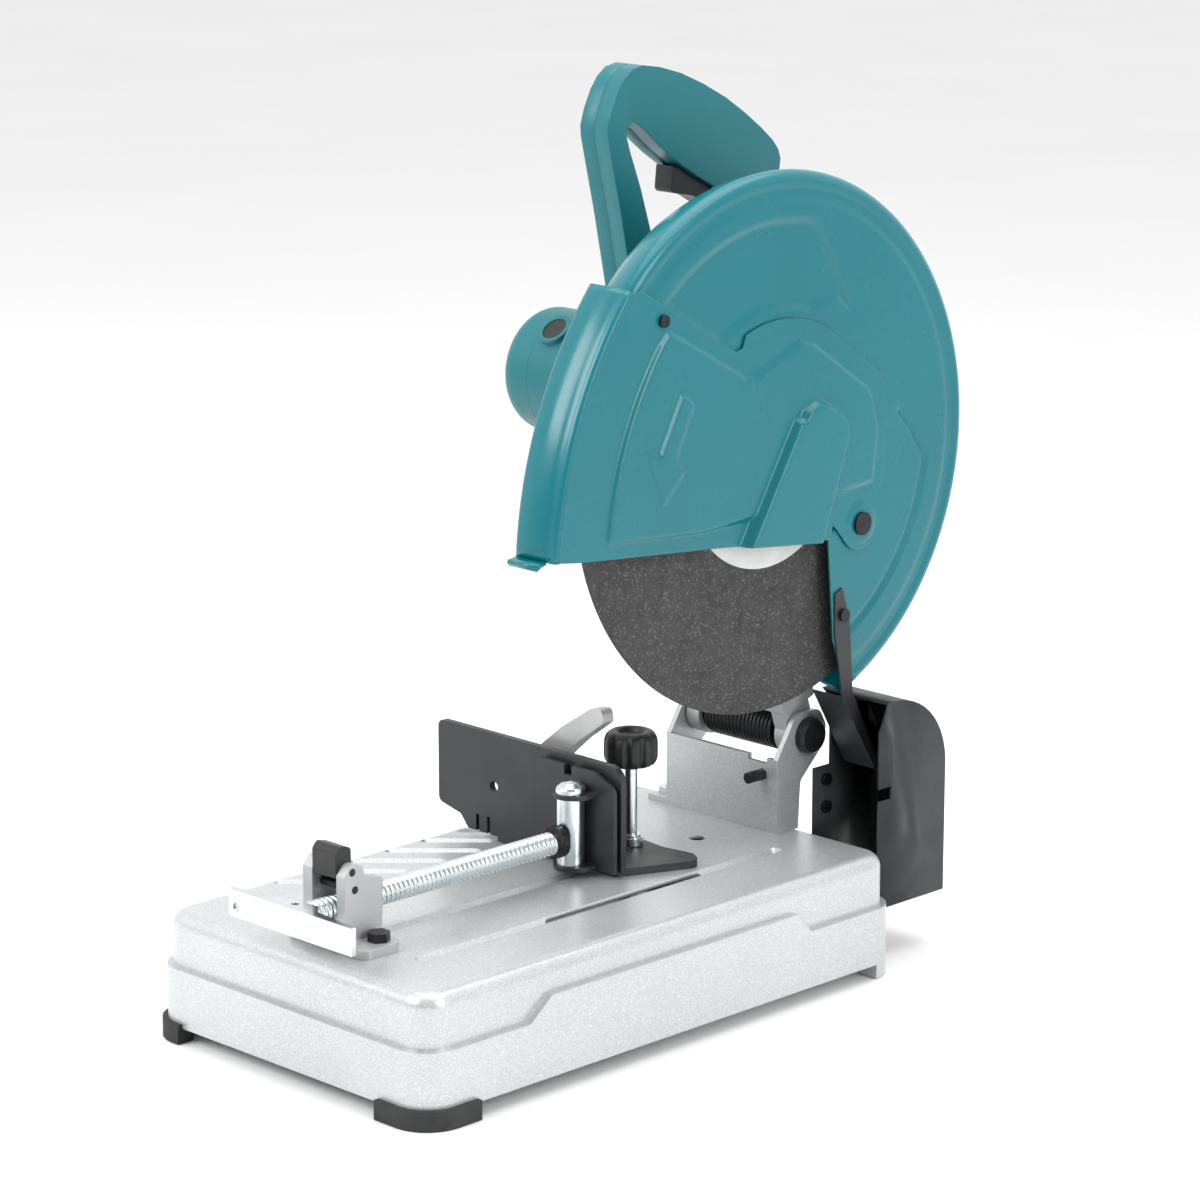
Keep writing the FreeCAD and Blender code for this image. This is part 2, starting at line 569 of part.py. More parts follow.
def vise():
    front = d.screw_front
    r = d.screw_radius
    back = d.trunnion_y
    reach = back - front
    crest = [(0, 0), (reach, 0), (reach, r - 2), (reach - 16, r - 2), (reach - 16, r - 1), (reach - 17, r)]
    crest += [(14, r), (13, r - 1), (0, r - 1)]
    bar = turned("screw_bar", [(a, q) for a, q in crest], ("0", "0", "0"))
    screw = doc.addObject("Part::Feature", "vise_screw_body")
    doc.recompute()
    screw.Shape = bar.Shape.copy()
    screw.Placement = FreeCAD.Placement(V(d.vise_x, front, d.vise_z), FreeCAD.Rotation(V(0, 0, 1), 90))
    pin_hole = cylinder("screw_pin_hole", "z", ("vise_x", "screw_front + 6", "vise_z - 12"), "24", "2.5")
    node("vise_screw", cut("vise_screw_cut", screw, pin_hole))
    collar = tube("screw_collar_body", "y", ("vise_x", "trunnion_y - 15.9", "vise_z"), "5", "screw_radius + 3",
                  "screw_radius - 2 + fit")
    node("screw_collar", collar)
    node("vise_crank", crank())
    node("crank_pin", cylinder("crank_pin_body", "z", ("vise_x", "screw_front + 6", "vise_z - 9"), "18", "2.45"))
    low_z, high_z = d.table_z + 5, 144
    post = cylinder("trunnion_post", "z", ("vise_x", "trunnion_y", str(low_z + 3)), str(high_z - low_z - 6),
                    "trunnion_radius")
    bores = fuse("trunnion_bores", cylinder("trunnion_bore", "z", ("vise_x", "trunnion_y", "table_z"), "80", "4.05"),
                 cylinder("trunnion_cross", "y", ("vise_x", "trunnion_y - 12", "vise_z"), "12.2",
                          "screw_radius - 2 + fit"))
    node("trunnion", cut("trunnion_body", post, bores))
    top = high_z - low_z
    bolt = [(0, 0), (top + 8, 0), (top + 7, 6), (top + 4.5, 9.5), (top + 3, 10.4), (top, 10.4), (top, 4), (0, 4)]
    stem = turned("trunnion_bolt_bar", bolt, ("vise_x", "trunnion_y", str(low_z)), "z")
    node("trunnion_bolt", cut("trunnion_bolt_body", stem, cylinder(
        "bolt_relief", "y", ("vise_x", "trunnion_y - 6", "vise_z"), "6.2", "screw_radius - 2 + fit")))
    face = d.fence_y - d.jaw_gap
    plate_front = face - d.jaw_thick
    side = 15
    lug = outline([(d.vise_x - side, face), (d.vise_x - side, d.trunnion_y - 3, 12),
                   (d.vise_x, d.trunnion_y - 15, 12), (d.vise_x + side, d.trunnion_y - 3, 12), (d.vise_x + side, face)])
    upper = prism("jaw_lug_top", "z", lug, str(high_z - 3), "3")
    lower = prism("jaw_lug_low", "z", lug, str(low_z), "3")
    post_bore = cylinder("jaw_lug_bore", "z", ("vise_x", "trunnion_y", "table_z"), "80", "4.1")
    shape = outline([(d.jaw_left, d.table_z + d.fence_gap), (d.jaw_right, d.table_z + d.fence_gap),
                     (d.jaw_right, d.jaw_top - 8, 8), (d.vise_x + 20, d.jaw_top - 4, 10), (d.vise_x + 12, d.jaw_top, 4),
                     (d.jaw_left, d.jaw_top, 3)])
    plate = prism("jaw_plate", "y", shape, str(plate_front), "jaw_thick")
    notch = box("jaw_notch", ("vise_x - 17", str(plate_front - 1), "jaw_top - 7"), ("7", "jaw_thick + 2", "8"))
    body = fuse("vise_jaw_blank", upper, lower, plate)
    node("vise_jaw", cut("vise_jaw_body", body, fuse("jaw_cuts", post_bore, notch)))


def fence():
    low = d.table_z + d.fence_gap
    plate = outline([(d.fence_left + 30, low), (d.fence_right, low), (d.fence_right, d.fence_top, 12),
                     (d.fence_left, d.fence_top, 5), (d.fence_left, low + 14, 5), (d.fence_left + 22, low + 9, 2)])
    wall = prism("fence_wall", "y", plate, "fence_y", "fence_thick")
    tongue = outline([(d.lever_x - 22, d.fence_y), (d.fence_right - 6, d.fence_y), (d.fence_right + 12, d.knob_y - 8, 14),
                      (d.fence_right + 19, d.knob_y + 8, 8), (d.knob_x + 44, d.knob_y + 16, 8),
                      (d.knob_x + 20, d.knob_y + 12, 14), (d.knob_x - 30, d.knob_y + 18, 12),
                      (d.lever_x - 16, d.lever_y + 22, 12)], 4)
    foot = prism("fence_foot", "z", tongue, "table_z + 0.4", "5")
    gusset = prism("fence_gusset", "x", outline([(d.fence_y, low), (d.fence_y + 22, d.table_z + 3),
                                                 (d.fence_y, low + 30)]), "fence_left + 38", "4")
    radius = math.hypot(d.knob_x - d.lever_x, d.knob_y - d.lever_y)
    start = math.degrees(math.atan2(d.knob_y - d.lever_y, d.knob_x - d.lever_x))
    half = d.clamp_radius + 0.3
    ends = [math.radians(start + 1), math.radians(start - 14)]
    centre = V(d.lever_x, d.lever_y, 0)

    def at(reach, angle):
        return centre + V(reach * math.cos(angle), reach * math.sin(angle), 0)

    middle = (ends[0] + ends[1]) / 2
    past = half / radius
    slot = [Part.Arc(at(radius + half, ends[0]), at(radius + half, middle), at(radius + half, ends[1])),
            Part.Arc(at(radius + half, ends[1]), at(radius, ends[1] - past), at(radius - half, ends[1])),
            Part.Arc(at(radius - half, ends[1]), at(radius - half, middle), at(radius - half, ends[0])),
            Part.Arc(at(radius - half, ends[0]), at(radius, ends[0] + past), at(radius + half, ends[0]))]
    opening = prism("fence_slot", "z", slot, "table_z", "9")
    cuts = fuse("fence_cuts", opening,
                cylinder("fence_bolt_hole", "z", ("lever_x", "lever_y", "table_z"), "9", "5 + fit"),
                cylinder("fence_hole", "y", ("fence_left + 56", "fence_y - 1", "table_z + 39"), "8", "4"),
                box("fence_notch_a", ("fence_left + 38", "fence_y - 1", "table_z"), ("3", "7", "16")),
                box("fence_notch_b", ("fence_left + 49", "fence_y - 1", "table_z"), ("3", "7", "16")))
    node("guide_plate", cut("guide_plate_body", fuse("fence_blank", wall, foot, gusset), cuts))
    top = d.table_z + 5.4
    node("guide_bolt", hex_bolt("guide_bolt_body", d.lever_x, d.lever_y, top + 21.5, 35.5, 4.95, 16, 6))
    hub = tube("lever_hub", "z", ("lever_x", "lever_y", str(top + 0.5)), "20", "11", "5 + fit")
    grip = outline([(d.lever_x + 8, top + 3), (d.lever_x + 18, top + 34, 12), (d.lever_x + 32, top + 63.5, 20),
                    (d.lever_x + 49, top + 78.5), (d.lever_x + 70.5, top + 94, 4), (d.lever_x + 69, top + 103.5, 4),
                    (d.lever_x + 58, top + 102, 6), (d.lever_x + 30, top + 84), (d.lever_x + 5, top + 64, 24),
                    (d.lever_x - 2, top + 19)])
    arm = prism("lever_arm", "y", grip, "lever_y - 5", "10")
    clear = cylinder("lever_clear", "z", ("lever_x", "lever_y", str(top)), "21.4", "5 + fit")
    head_room = cylinder("lever_head_room", "z", ("lever_x", "lever_y", str(top + 20.5)), "20", "10.5")
    node("clamp_lever", cut("clamp_lever_body", fuse("lever_blank", hub, arm),
                            fuse("lever_cuts", clear, head_room)))
    stem = [(0, 0), (d.knob_z - d.table_z + 26, 0), (d.knob_z - d.table_z + 26, d.clamp_radius - 0.05)]
    stem += [(27.5, d.clamp_radius - 0.05), (27.5, 7), (25.7, 7), (25.7, 8.5), (19.9, 8.5),
             (19.9, d.clamp_radius - 0.05), (0, d.clamp_radius - 0.05)]
    node("clamp_screw", turned("clamp_screw_body", stem, ("knob_x", "knob_y", "table_z - 14"), "z"))
    flutes = []
    crown = cylinder("knob_blank", "z", ("knob_x", "knob_y", "knob_z"), "knob_height", "knob_radius")
    for i, (py, pz) in enumerate(ring_points(d.knob_radius + 1.2, range(0, 360, 36))):
        flutes.append(cylinder("knob_flute_%d" % i, "z", (str(d.knob_x + py), str(d.knob_y + pz), "knob_z - 1"),
                               "knob_height - 5", "3"))
    flutes.append(cylinder("knob_bore", "z", ("knob_x", "knob_y", "knob_z - 1"), "13", "clamp_radius - 0.05"))
    flutes.append(cylinder("knob_dish", "z", ("knob_x", "knob_y", "knob_z + knob_height - 4"), "5", "8"))
    node("clamp_knob", cut("clamp_knob_body", crown, fuse("knob_cuts", *flutes)))


# ---------------------------------------------------------------- gears, motor and spindle
def motor_axis():
    apart = d.gear_module * (d.pinion_teeth + d.gear_teeth) / 2
    turn = math.radians(d.motor_turn)
    return d.wheel_y + apart * math.cos(turn), d.wheel_z + apart * math.sin(turn)


def toothed(name, centre, teeth, start, length, bore, first):
    """A spur gear: straight-sided teeth, a little thin so that the pair runs free."""
    pitch = d.gear_module * teeth / 2
    tip = pitch + 0.85 * d.gear_module
    root = pitch - 1.15 * d.gear_module
    step = 360 / teeth
    points = []
    for i in range(int(teeth)):
        a = first + i * step
        for radius, part in ((root, -0.33), (pitch, -0.23), (tip, -0.1), (tip, 0.1), (pitch, 0.23), (root, 0.33)):
            angle = math.radians(a + part * step)
            points.append((centre[0] + radius * math.cos(angle), centre[1] + radius * math.sin(angle)))
    blank = prism(name + "_blank", "x", outline(points), start, length)
    if not bore:
        return blank
    hole = cylinder(name + "_bore", "x", ("%s - 1" % start, str(centre[0]), str(centre[1])), "%s + 2" % length, bore)
    return cut(name, blank, hole)


def gear_case():
    y, z = motor_axis()
    length = "case_right - case_left"
    hub = cylinder("case_hub", "x", ("case_left", "wheel_y", "wheel_z"), length, "case_radius")
    nose = cylinder("case_nose", "x", ("case_right", "wheel_y", "wheel_z"), "8", "24")
    flange = cylinder("case_flange", "x", ("case_left", str(y), str(z)), length, "motor_radius - 5")
    u = V(0, d.wheel_y - d.pivot_y, d.wheel_z - d.pivot_z).normalize()
    n = V(0, u.z, -u.y)
    pivot_point = V(0, d.pivot_y, d.pivot_z)

    def at(along, off):
        p = pivot_point + u * along + n * off
        return (p.y, p.z)

    arm = prism("case_arm", "x", outline([at(24, -16), at(24, 16), at(180, 26), at(180, -26)], 2),
                "case_left", "case_right - case_left - 3")
    yoke = prism("case_yoke", "x", outline([at(22, -13), at(22, 13), at(38, 13), at(38, -13)], 3),
                 "bracket_left + 5", "bracket_right - bracket_left - 10")
    lugs = [prism("case_lug_%d" % i, "x", outline([at(-8, -13), at(-8, 13), at(30, 13), at(30, -13)], 6), start, "12")
            for i, start in enumerate(("bracket_left + 5", "bracket_right - 17"))]
    lug_rings = [cylinder("case_lug_ring_%d" % i, "x", (start, "pivot_y", "pivot_z"), "12", "16")
                 for i, start in enumerate(("bracket_left + 5", "bracket_right - 17"))]
    saddle = box("handle_saddle", ("handle_x - handle_half", "%s" % (d.wheel_y + 36), "%s" % (d.wheel_z + 54)),
                 ("case_right - handle_x + handle_half - 3", "44", "14"))
    rib = box("handle_rib", ("case_left", "wheel_y + 20", "wheel_z + 30"), ("case_right - case_left - 3", "44", "30"))
    blank = fuse("case_blank", hub, nose, flange, arm, yoke, saddle, rib, *lugs, *lug_rings)
    cuts = [cylinder("case_gear_room", "x", ("case_left + 6", "wheel_y", "wheel_z"), "24", "case_radius - 5"),
            cylinder("case_pinion_room", "x", ("case_left + 6", str(y), str(z)), "24", "16"),
            cylinder("case_shaft_hole", "x", ("case_left - 1", str(y), str(z)), "8", "13.05"),
            cylinder("case_bearing_right", "x", ("case_left + 29", "wheel_y", "wheel_z"), "12", "18"),
            cylinder("case_bearing_left", "x", ("case_left + 1", "wheel_y", "wheel_z"), "6", "13"),
            cylinder("case_nose_bore", "x", ("case_left + 40", "wheel_y", "wheel_z"), "15", "15")]
    for i, (dy, dz) in enumerate(guard_screw_places()):
        cuts.append(cylinder("case_screw_hole_%d" % i, "x", ("guard_left - 9", str(d.wheel_y + dy), str(d.wheel_z + dz)),
                             "10", "3"))
    for i, start in enumerate(("bracket_left + 4", "bracket_right - 18")):
        cuts.append(cylinder("case_bush_seat_%d" % i, "x", (start, "pivot_y", "pivot_z"), "14", "12"))
    cuts.append(cylinder("lock_bore", "y", ("case_left + 16", "wheel_y + case_radius - 10", "wheel_z"), "30", "4 + fit"))
    node("gear_case", cut("gear_case_body", blank, fuse("case_cuts", *cuts)))
    button = fuse("shaft_lock_body",
                  cylinder("shaft_lock_pin", "y", ("case_left + 16", "wheel_y + case_radius - 3", "wheel_z"), "9", "4"),
                  cylinder("shaft_lock_head", "y", ("case_left + 16", "wheel_y + case_radius + 5", "wheel_z"),
                           "5", "7"))
    node("shaft_lock", button)


def motor():
    y, z = motor_axis()
    at = (str(y), str(z))
    barrel = cylinder("motor_barrel", "x", ("motor_cap", *at), "case_left - motor_cap", "motor_radius")
    room = cylinder("motor_room", "x", ("motor_cap - 1", *at), "case_left - motor_cap - 3", "motor_radius - motor_wall")
    throat = cylinder("motor_throat", "x", ("motor_cap", *at), "case_left - motor_cap + 1", "20")
    turns = (math.radians(130), math.radians(310))
    sockets = []
    holes = []
    caps = []
    brushes = []
    for i, turn in enumerate(turns):
        out = V(0, math.cos(turn), math.sin(turn))
        face = FreeCAD.Rotation(V(0, 0, 1), out)
        for kind, radius, start, reach, keep in (("socket", 12, 36, 10.5, sockets), ("socket_hole", 9, 20, 30, holes),
                                                 ("cap", 8.9, 40, 6, caps), ("brush", 4, 15.1, 24.5, brushes)):
            bar = doc.addObject("Part::Cylinder", "brush_%s_%d" % (kind, i))
            bar.Radius = radius
            bar.Height = reach
            bar.Placement = FreeCAD.Placement(V(), face)
            place(bar, ("motor_cap + 14", str(y + out.y * start), str(z + out.z * start)))
            keep.append(bar)
    shell = cut("motor_shell", fuse("motor_blank", barrel, *sockets), fuse("motor_cuts", room, throat, *holes))
    node("motor_housing", shell)
    node("brush_caps", group("brush_cap_pair", *caps))
    node("carbon_brushes", group("brush_pair", *brushes))
    r = d.motor_radius
    cap_len = d.motor_cap - d.motor_left
    bowl = [(0, 0), (0, r, 14), (cap_len, r), (cap_len, r - 3), (3, r - 3, 11), (3, 11.5), (12, 11.5), (12, 8.6),
            (2.4, 8.6), (2.4, 0)]
    cap = turned("end_cap_bowl", bowl, ("motor_left", *at))
    slots = []
    for i in range(12):
        p = ring_points(25, [i * 30])[0]
        slots.append(cylinder("end_cap_vent_%d" % i, "x", ("motor_left - 1", str(y + p[0]), str(z + p[1])), "5", "3.5"))
    node("motor_end_cap", cut("motor_end_cap_body", cap, fuse("end_cap_vents", *slots)))
    node("field_core", tube("field_core_body", "x", ("motor_cap + 28", *at), "34", "motor_radius - motor_wall - 0.1", "28"))
    start = d.motor_left + 3
    end = d.case_left + 28 - start
    w = d.motor_cap - start
    bar = [(0, 0), (end, 0), (end, 4.5), (end - 22, 4.5), (end - 22, 7.5), (w + 80, 7.5), (w + 65, 7.5), (w + 64, 25.5),
           (w + 26, 25.5), (w + 25, 15), (w + 5, 15), (w + 4, 6), (0, 6)]
    rotor = turned("armature_bar", bar, ("motor_left + 3", *at))
    phase = d.motor_turn + 180 + 180 / d.pinion_teeth
    pinion = toothed("pinion", (y, z), d.pinion_teeth, "case_left + 8", "19", None, phase)
    node("armature", fuse("armature_body", rotor, pinion))
    disc = tube("fan_disc", "x", ("case_left - 22", *at), "3", "38", "7.5")
    blades = []
    for i in range(9):
        blade = doc.addObject("Part::Box", "fan_blade_%d" % i)
        blade.Length = 9
        blade.Width = 22
        blade.Height = 2
        turn = FreeCAD.Rotation(V(1, 0, 0), i * 40)
        blade.Placement = FreeCAD.Placement(V(), turn)
        shift = turn.multVec(V(0, 14, -1))
        place(blade, ("case_left - 19.5", str(y + shift.y), str(z + shift.z)))
        blades.append(blade)
    node("fan", fuse("fan_body", disc, *blades))
    rear = tube("motor_bearing_rear", "x", ("motor_left + 3", *at), "8", "8.6", "6 + rotor_fit")
    front = tube("motor_bearing_front", "x", ("case_left - 2", *at), "7.8", "13.05", "7.5 + rotor_fit")
    node("motor_bearings", group("motor_bearing_pair", rear, front))


def spindle():
    start = d.case_left + 1.5
    x = [v - start for v in (d.case_left + 8, d.case_left + 28, d.case_left + 42, d.blade_x - 10,
                             d.blade_x + d.wheel_thick / 2 + 4)]
    r = d.arbor_radius
    bar = [(0, 0), (x[4], 0), (x[4], r - 0.1), (x[3], r - 0.1), (x[3], 12), (x[2], 12), (x[2], 10),
           (x[1], 10), (x[1], 11), (x[0] - 1, 11), (x[0] - 1, 6), (0, 6)]
    shaft = turned("spindle_bar", bar, ("case_left + 1.5", "wheel_y", "wheel_z"))
    tapped = cylinder("spindle_tapped", "x", ("blade_x - 16", "wheel_y", "wheel_z"), "24", "5")
    node("spindle", cut("spindle_body", shaft, tapped))
    phase = d.motor_turn
    node("spindle_gear", toothed("spindle_gear_body", (d.wheel_y, d.wheel_z), d.gear_teeth, "case_left + 10", "15",
                                 "11", phase))
    node("spindle_bearings", group(
        "spindle_bearing_pair",
        tube("spindle_bearing_right", "x", ("case_left + 29.2", "wheel_y", "wheel_z"), "10.6", "18", "10 + fit"),
        tube("spindle_bearing_left", "x", ("case_left + 1.6", "wheel_y", "wheel_z"), "5", "13", "6 + fit")))
    half = "wheel_thick / 2"
    inner = tube("inner_flange_body", "x", ("blade_x - %s - 8" % half, "wheel_y", "wheel_z"), "8", "38",
                 "arbor_radius - 0.1")
    node("inner_flange", inner)
    outer = tube("outer_flange_body", "x", ("blade_x + " + half, "wheel_y", "wheel_z"), "5.5", "38",
                 "arbor_radius - 0.1")
    node("outer_flange", outer)
    seat = d.blade_x + d.wheel_thick / 2 + 5.5
    centre = (d.wheel_y, d.wheel_z)
    head = hexagon("arbor_bolt_head", "x", centre, str(seat), "5.4", 17)
    washer = cylinder("arbor_bolt_washer", "x", (str(seat - 1.4), "wheel_y", "wheel_z"), "1.6", "12.6")
    stem = cylinder("arbor_bolt_stem", "x", ("blade_x - 14", "wheel_y", "wheel_z"), "%s - blade_x + 14" % seat, "4.95")
    node("arbor_bolt", fuse("arbor_bolt_body", head, washer, stem))
    wheel = tube("wheel_body", "x", ("blade_x - " + half, "wheel_y", "wheel_z"), "wheel_thick", "wheel_radius",
                 "arbor_radius - 0.1")
    node("abrasive_wheel", wheel)
    node("wheel_label", tube("wheel_label_body", "x", ("blade_x + " + half, "wheel_y", "wheel_z"), "0.3", "78", "38.2"))


# ---------------------------------------------------------------- guards
def wheel_guard():
    y, z = d.wheel_y, d.wheel_z
    wide, radius, wall = d.guard_right - d.guard_left, d.guard_radius, d.sheet
    small, edge = radius - d.guard_taper, d.guard_edge
    origin = ("guard_left", "wheel_y", "wheel_z")
    outer = turned("guard_outer", [(0, 0), (0, small, 4), (wide - 10, radius), (wide, radius, edge), (wide, 0)], origin)
    inner = turned("guard_inner", [(wall, 0), (wall, small - wall, 3), (wide - 10, radius - wall),
                                   (wide - wall, radius - wall, edge - wall), (wide - wall, 0)], origin)
    low = about([(-320, -320), (-320, -30), (-150, -34), (50, -58), (57, -137), (71, -176), (71, -320)], y, z)
    below = prism("guard_below", "x", outline(low), "guard_left - 5", "guard_right - guard_left + 10")
    access = about([(-320, 122), (-128, 116), (-62, 75), (-42, 64), (10, 82, 30), (62, 55), (88, 38), (97, 12),
                    (90, -30), (66, -38), (56, -60), (-320, -60)], y, z)
    window = prism("guard_access", "x", outline(access), "guard_right - 15", "20")
    hub = cylinder("guard_hub_hole", "x", ("guard_left - 2", "wheel_y", "wheel_z"), "6", "24.2")
    screw = cylinder("guard_cover_hole", "x", ("guard_right - 5", str(y + d.cover_pivot_y), str(z + d.cover_pivot_z)),
                     "10", "4")
    bosses = []
    for i, (dy, dz) in enumerate(guard_screw_places()):
        bosses.append(cylinder("guard_hole_%d" % i, "x", ("guard_left - 1", str(y + dy), str(z + dz)), "4", "3"))
    shell = cut("guard_shell", outer, inner)
    node("wheel_guard", cut("wheel_guard_body", shell, fuse("guard_cuts", below, window, hub, screw, *bosses)))
    screws = [fuse("guard_screw_%d" % i,
                   cylinder("guard_screw_head_%d" % i, "x", ("guard_left + sheet", str(y + dy), str(z + dz)), "3", "5"),
                   cylinder("guard_screw_stem_%d" % i, "x", ("guard_left - 8", str(y + dy), str(z + dz)), "10", "2.95"))
              for i, (dy, dz) in enumerate(guard_screw_places())]
    node("guard_screws", group("guard_screw_set", *screws))


def guard_screw_places():
    return ring_points(40, (20, 140, 260))


def deflector():
    """Sheet that hangs behind the wheel and steers the sparks back."""
    y, z = d.wheel_y, d.wheel_z
    flap = [(66, -178), (68, -179), (103, -236), (101, -237)]
    leaf = prism("deflector_leaf", "x", outline(about(flap, y, z)), "blade_x - 14", "guard_right - blade_x + 15.5")
    ear = [(57, -104), (64, -101), (72, -125), (76, -176), (105, -236), (101, -237), (66, -180), (57, -132)]
    side = prism("deflector_ear", "x", outline(about(ear, y, z)), "guard_right", "1.5")
    link = fuse("deflector_blank", leaf, side)
    hole = cylinder("deflector_hole", "x", ("guard_right - 3", str(y + 65), str(z - 120)), "8", "2.2")
    node("spark_deflector", cut("spark_deflector_body", link, hole))
    node("deflector_screw", fuse(
        "deflector_screw_body",
        cylinder("deflector_screw_head", "x", ("guard_right + 1.5", str(y + 65), str(z - 120)), "2.5", "4.5"),
        cylinder("deflector_screw_stem", "x", ("guard_right", str(y + 65), str(z - 120)), "1.5", "2.15")))


def cover_outline():
    """Edge of the safety cover from the wheel centre."""
    b = (d.cover_pivot_y, d.cover_pivot_z)
    reach = d.guard_radius + math.hypot(*b) + d.cover_gap + d.sheet
    rim = [(b[0] + p[0], b[1] + p[1]) for p in ring_points(reach, (176.3, 172, 168, 163, 158, 153, 148, 144, 140))]
    top = [(-132.6, 127.3), (-60, 85.2), (-41.8, 75.5)]
    back = ring_points(93, (108, 95, 83)) + [(52, 79), (70.8, 63.2), (97.7, 45.2), (107.8, 15.4), (106, -30)]
    boss = [(b[0] + p[0], b[1] + p[1]) for p in ring_points(19, (30, 0, -30, -60, -90, -120, -150))]
    low = [(53, -56), (51, -65), (-57.6, -53)]
    return rim + top + back + boss + low


def safety_cover():
    y, z = d.wheel_y, d.wheel_z
    face = "guard_right + cover_gap"
    points = cover_outline()
    plate = prism("cover_plate", "x", outline(about(points, y, z)), face, "sheet")
    b = (y + d.cover_pivot_y, z + d.cover_pivot_z)
    reach = d.guard_radius + math.hypot(d.cover_pivot_y, d.cover_pivot_z) + d.cover_gap
    band = tube("cover_band_ring", "x", ("guard_left", str(b[0]), str(b[1])), "guard_right - guard_left + cover_gap",
                str(reach + d.sheet), str(reach))
    wedge = [(b[0], b[1])] + [(b[0] + p[0], b[1] + p[1]) for p in ring_points(330, (176.3, 168, 158, 148, 140))]
    keep = prism("cover_band_wedge", "x", outline(wedge), "guard_left - 1", "guard_right - guard_left + 4")
    rim = common("cover_band", band, keep)
    u_shape = about([(-50, -62), (16, 34, 10), (34, 40, 20), (60, 28, 18), (64, 4, 20), (34, -70)], y, z)
    inner_u = about([(-47.6, -62), (16.6, 31.6, 8), (34, 37.8, 18), (58.4, 26.6, 16), (61.8, 4, 18), (32.4, -70)], y, z)
    raised = prism("cover_boss_outer", "x", outline(u_shape), face, "boss_height")
    hollow = prism("cover_boss_inner", "x", outline(inner_u), "guard_right - 1", "boss_height + cover_gap - sheet + 1")
    low = about([(-320, -320), (-320, -38), (-212, -39), (-57.6, -53), (51, -65), (120, -320)], y, z)
    below = prism("cover_below", "x", outline(low), "guard_left - 5", "90")
    hole = cylinder("cover_hole", "x", ("guard_right - 2", str(b[0]), str(b[1])), "10", "4 + fit")
    lock_at = (str(y - 113.3), str(z + 105.6))
    lock_hole = cylinder("cover_lock_hole", "x", ("guard_right - 2", *lock_at), "10", "2.5")
    blank = cut("cover_hollow", fuse("cover_blank", plate, raised, rim), hollow)
    node("safety_cover", cut("safety_cover_body", blank, fuse("cover_cuts", below, hole, lock_hole)))
    outside = "guard_right + cover_gap + sheet"
    node("cover_pivot_screw", fuse(
        "cover_pivot_screw_body",
        cylinder("cover_pivot_head", "x", (outside + " + 0.1", str(b[0]), str(b[1])), "3", "8"),
        cylinder("cover_pivot_stem", "x", ("guard_right - 6", str(b[0]), str(b[1])), "9", "3.95")))
    node("cover_lock_screw", fuse(
        "cover_lock_screw_body",
        cylinder("cover_lock_head", "x", (outside, *lock_at), "2.4", "4.2"),
        cylinder("cover_lock_stem", "x", ("guard_right + cover_gap", *lock_at), "2", "2.45")))


# ---------------------------------------------------------------- handle
def handle():
    y, z = motor_axis()
    outer = about([(-4, 20), (-5, 66), (-29, 170, 14), (-17, 206, 8), (-5, 217, 8), (32, 208), (68, 194), (92, 182),
                   (117, 165), (136, 149, 8), (141, 134, 8), (128, 116, 8), (112, 66), (106, 16)], y, z)
    opening = about([(18, 62, 8), (23, 80), (-14, 168, 6), (-8, 180, 6), (30, 151), (50, 140), (60, 134), (94, 112, 12),
                     (92, 90, 8), (86, 62, 8)], y, z)
    hole = prism("handle_opening", "x", outline(opening), "handle_x - 60", "120")
    barrel = cylinder("handle_saddle_cut", "x", ("handle_x - 60", str(y), str(z)), "120", "motor_radius + 0.05")
    seat = box("handle_seat_cut", ("handle_x - 60", str(y + 30), str(z - 20)), ("120", "90", str(d.wheel_z + 68 - z + 20)))
    switch_room = box("handle_switch_room", ("handle_x - 9", str(y + 52), str(z + 150)), ("18", "44", "24"))
    trigger_room = box("handle_trigger_room", ("handle_x - 8.4", str(y + 33), str(z + 108)), ("16.8", "48", "42.5"))
    push = V(0, 0.72, 0.694)
    rear = V(d.handle_x, y + 137, z + 146)
    button_room = turned_bar("handle_button_room", rear - push * 14, push, 24, 6.1)
    gland_room = cylinder("handle_gland_room", "y", ("handle_x", str(y + 96), str(z + 84)), "40", "6")
    for name, start, across in (("handle_left", "handle_x - handle_half", "handle_half"),
                                ("handle_right", "handle_x", "handle_half")):
        blank = prism(name + "_blank", "x", outline(outer), start, across)
        edge = d.handle_x - d.handle_half if name == "handle_left" else d.handle_x + d.handle_half
        soft = rounded(name + "_soft", cut(name + "_open", blank, hole), 5,
                       lambda e, edge=edge: all(abs(v.X - edge) < 0.01 for v in e.Vertexes) and e.BoundBox.XLength < 0.01)
        node(name, cut(name + "_body", soft, fuse(name + "_cuts", barrel, seat, switch_room, trigger_room, button_room,
                                                  gland_room, *screw_holes(name, y, z))))
    screws = []
    for i, (dy, dz) in enumerate(HANDLE_SCREWS):
        screws.append(cylinder("handle_screw_%d" % i, "x", ("handle_x - handle_half + 1", str(y + dy), str(z + dz)),
                               "handle_half + 7", "2.5"))
    node("handle_screws", group("handle_screw_set", *screws))
    blade = about([(36, 126, 4), (38, 144), (76, 134), (76, 112, 3), (58, 122, 20)], y, z)
    finger = prism("trigger_blade", "x", outline(blade), "handle_x - 8", "16")
    stalk = cylinder("trigger_axle", "x", ("handle_x - 7.9", str(y + 74), str(z + 134)), "15.8", "4")
    node("trigger", fuse("trigger_body", finger, stalk))
    node("switch", box("switch_body", ("handle_x - 8.9", str(y + 52.1), str(z + 150.1)), ("17.8", "43.8", "23.8")))
    node("lock_off_button", turned_bar("lock_off_button_body", rear - push * 10, push, 14, 6))
    node("cord_inlet", tube("cord_inlet_body", "y", ("handle_x", str(y + 100), str(z + 84)), "30", "5.95", "3.6"))


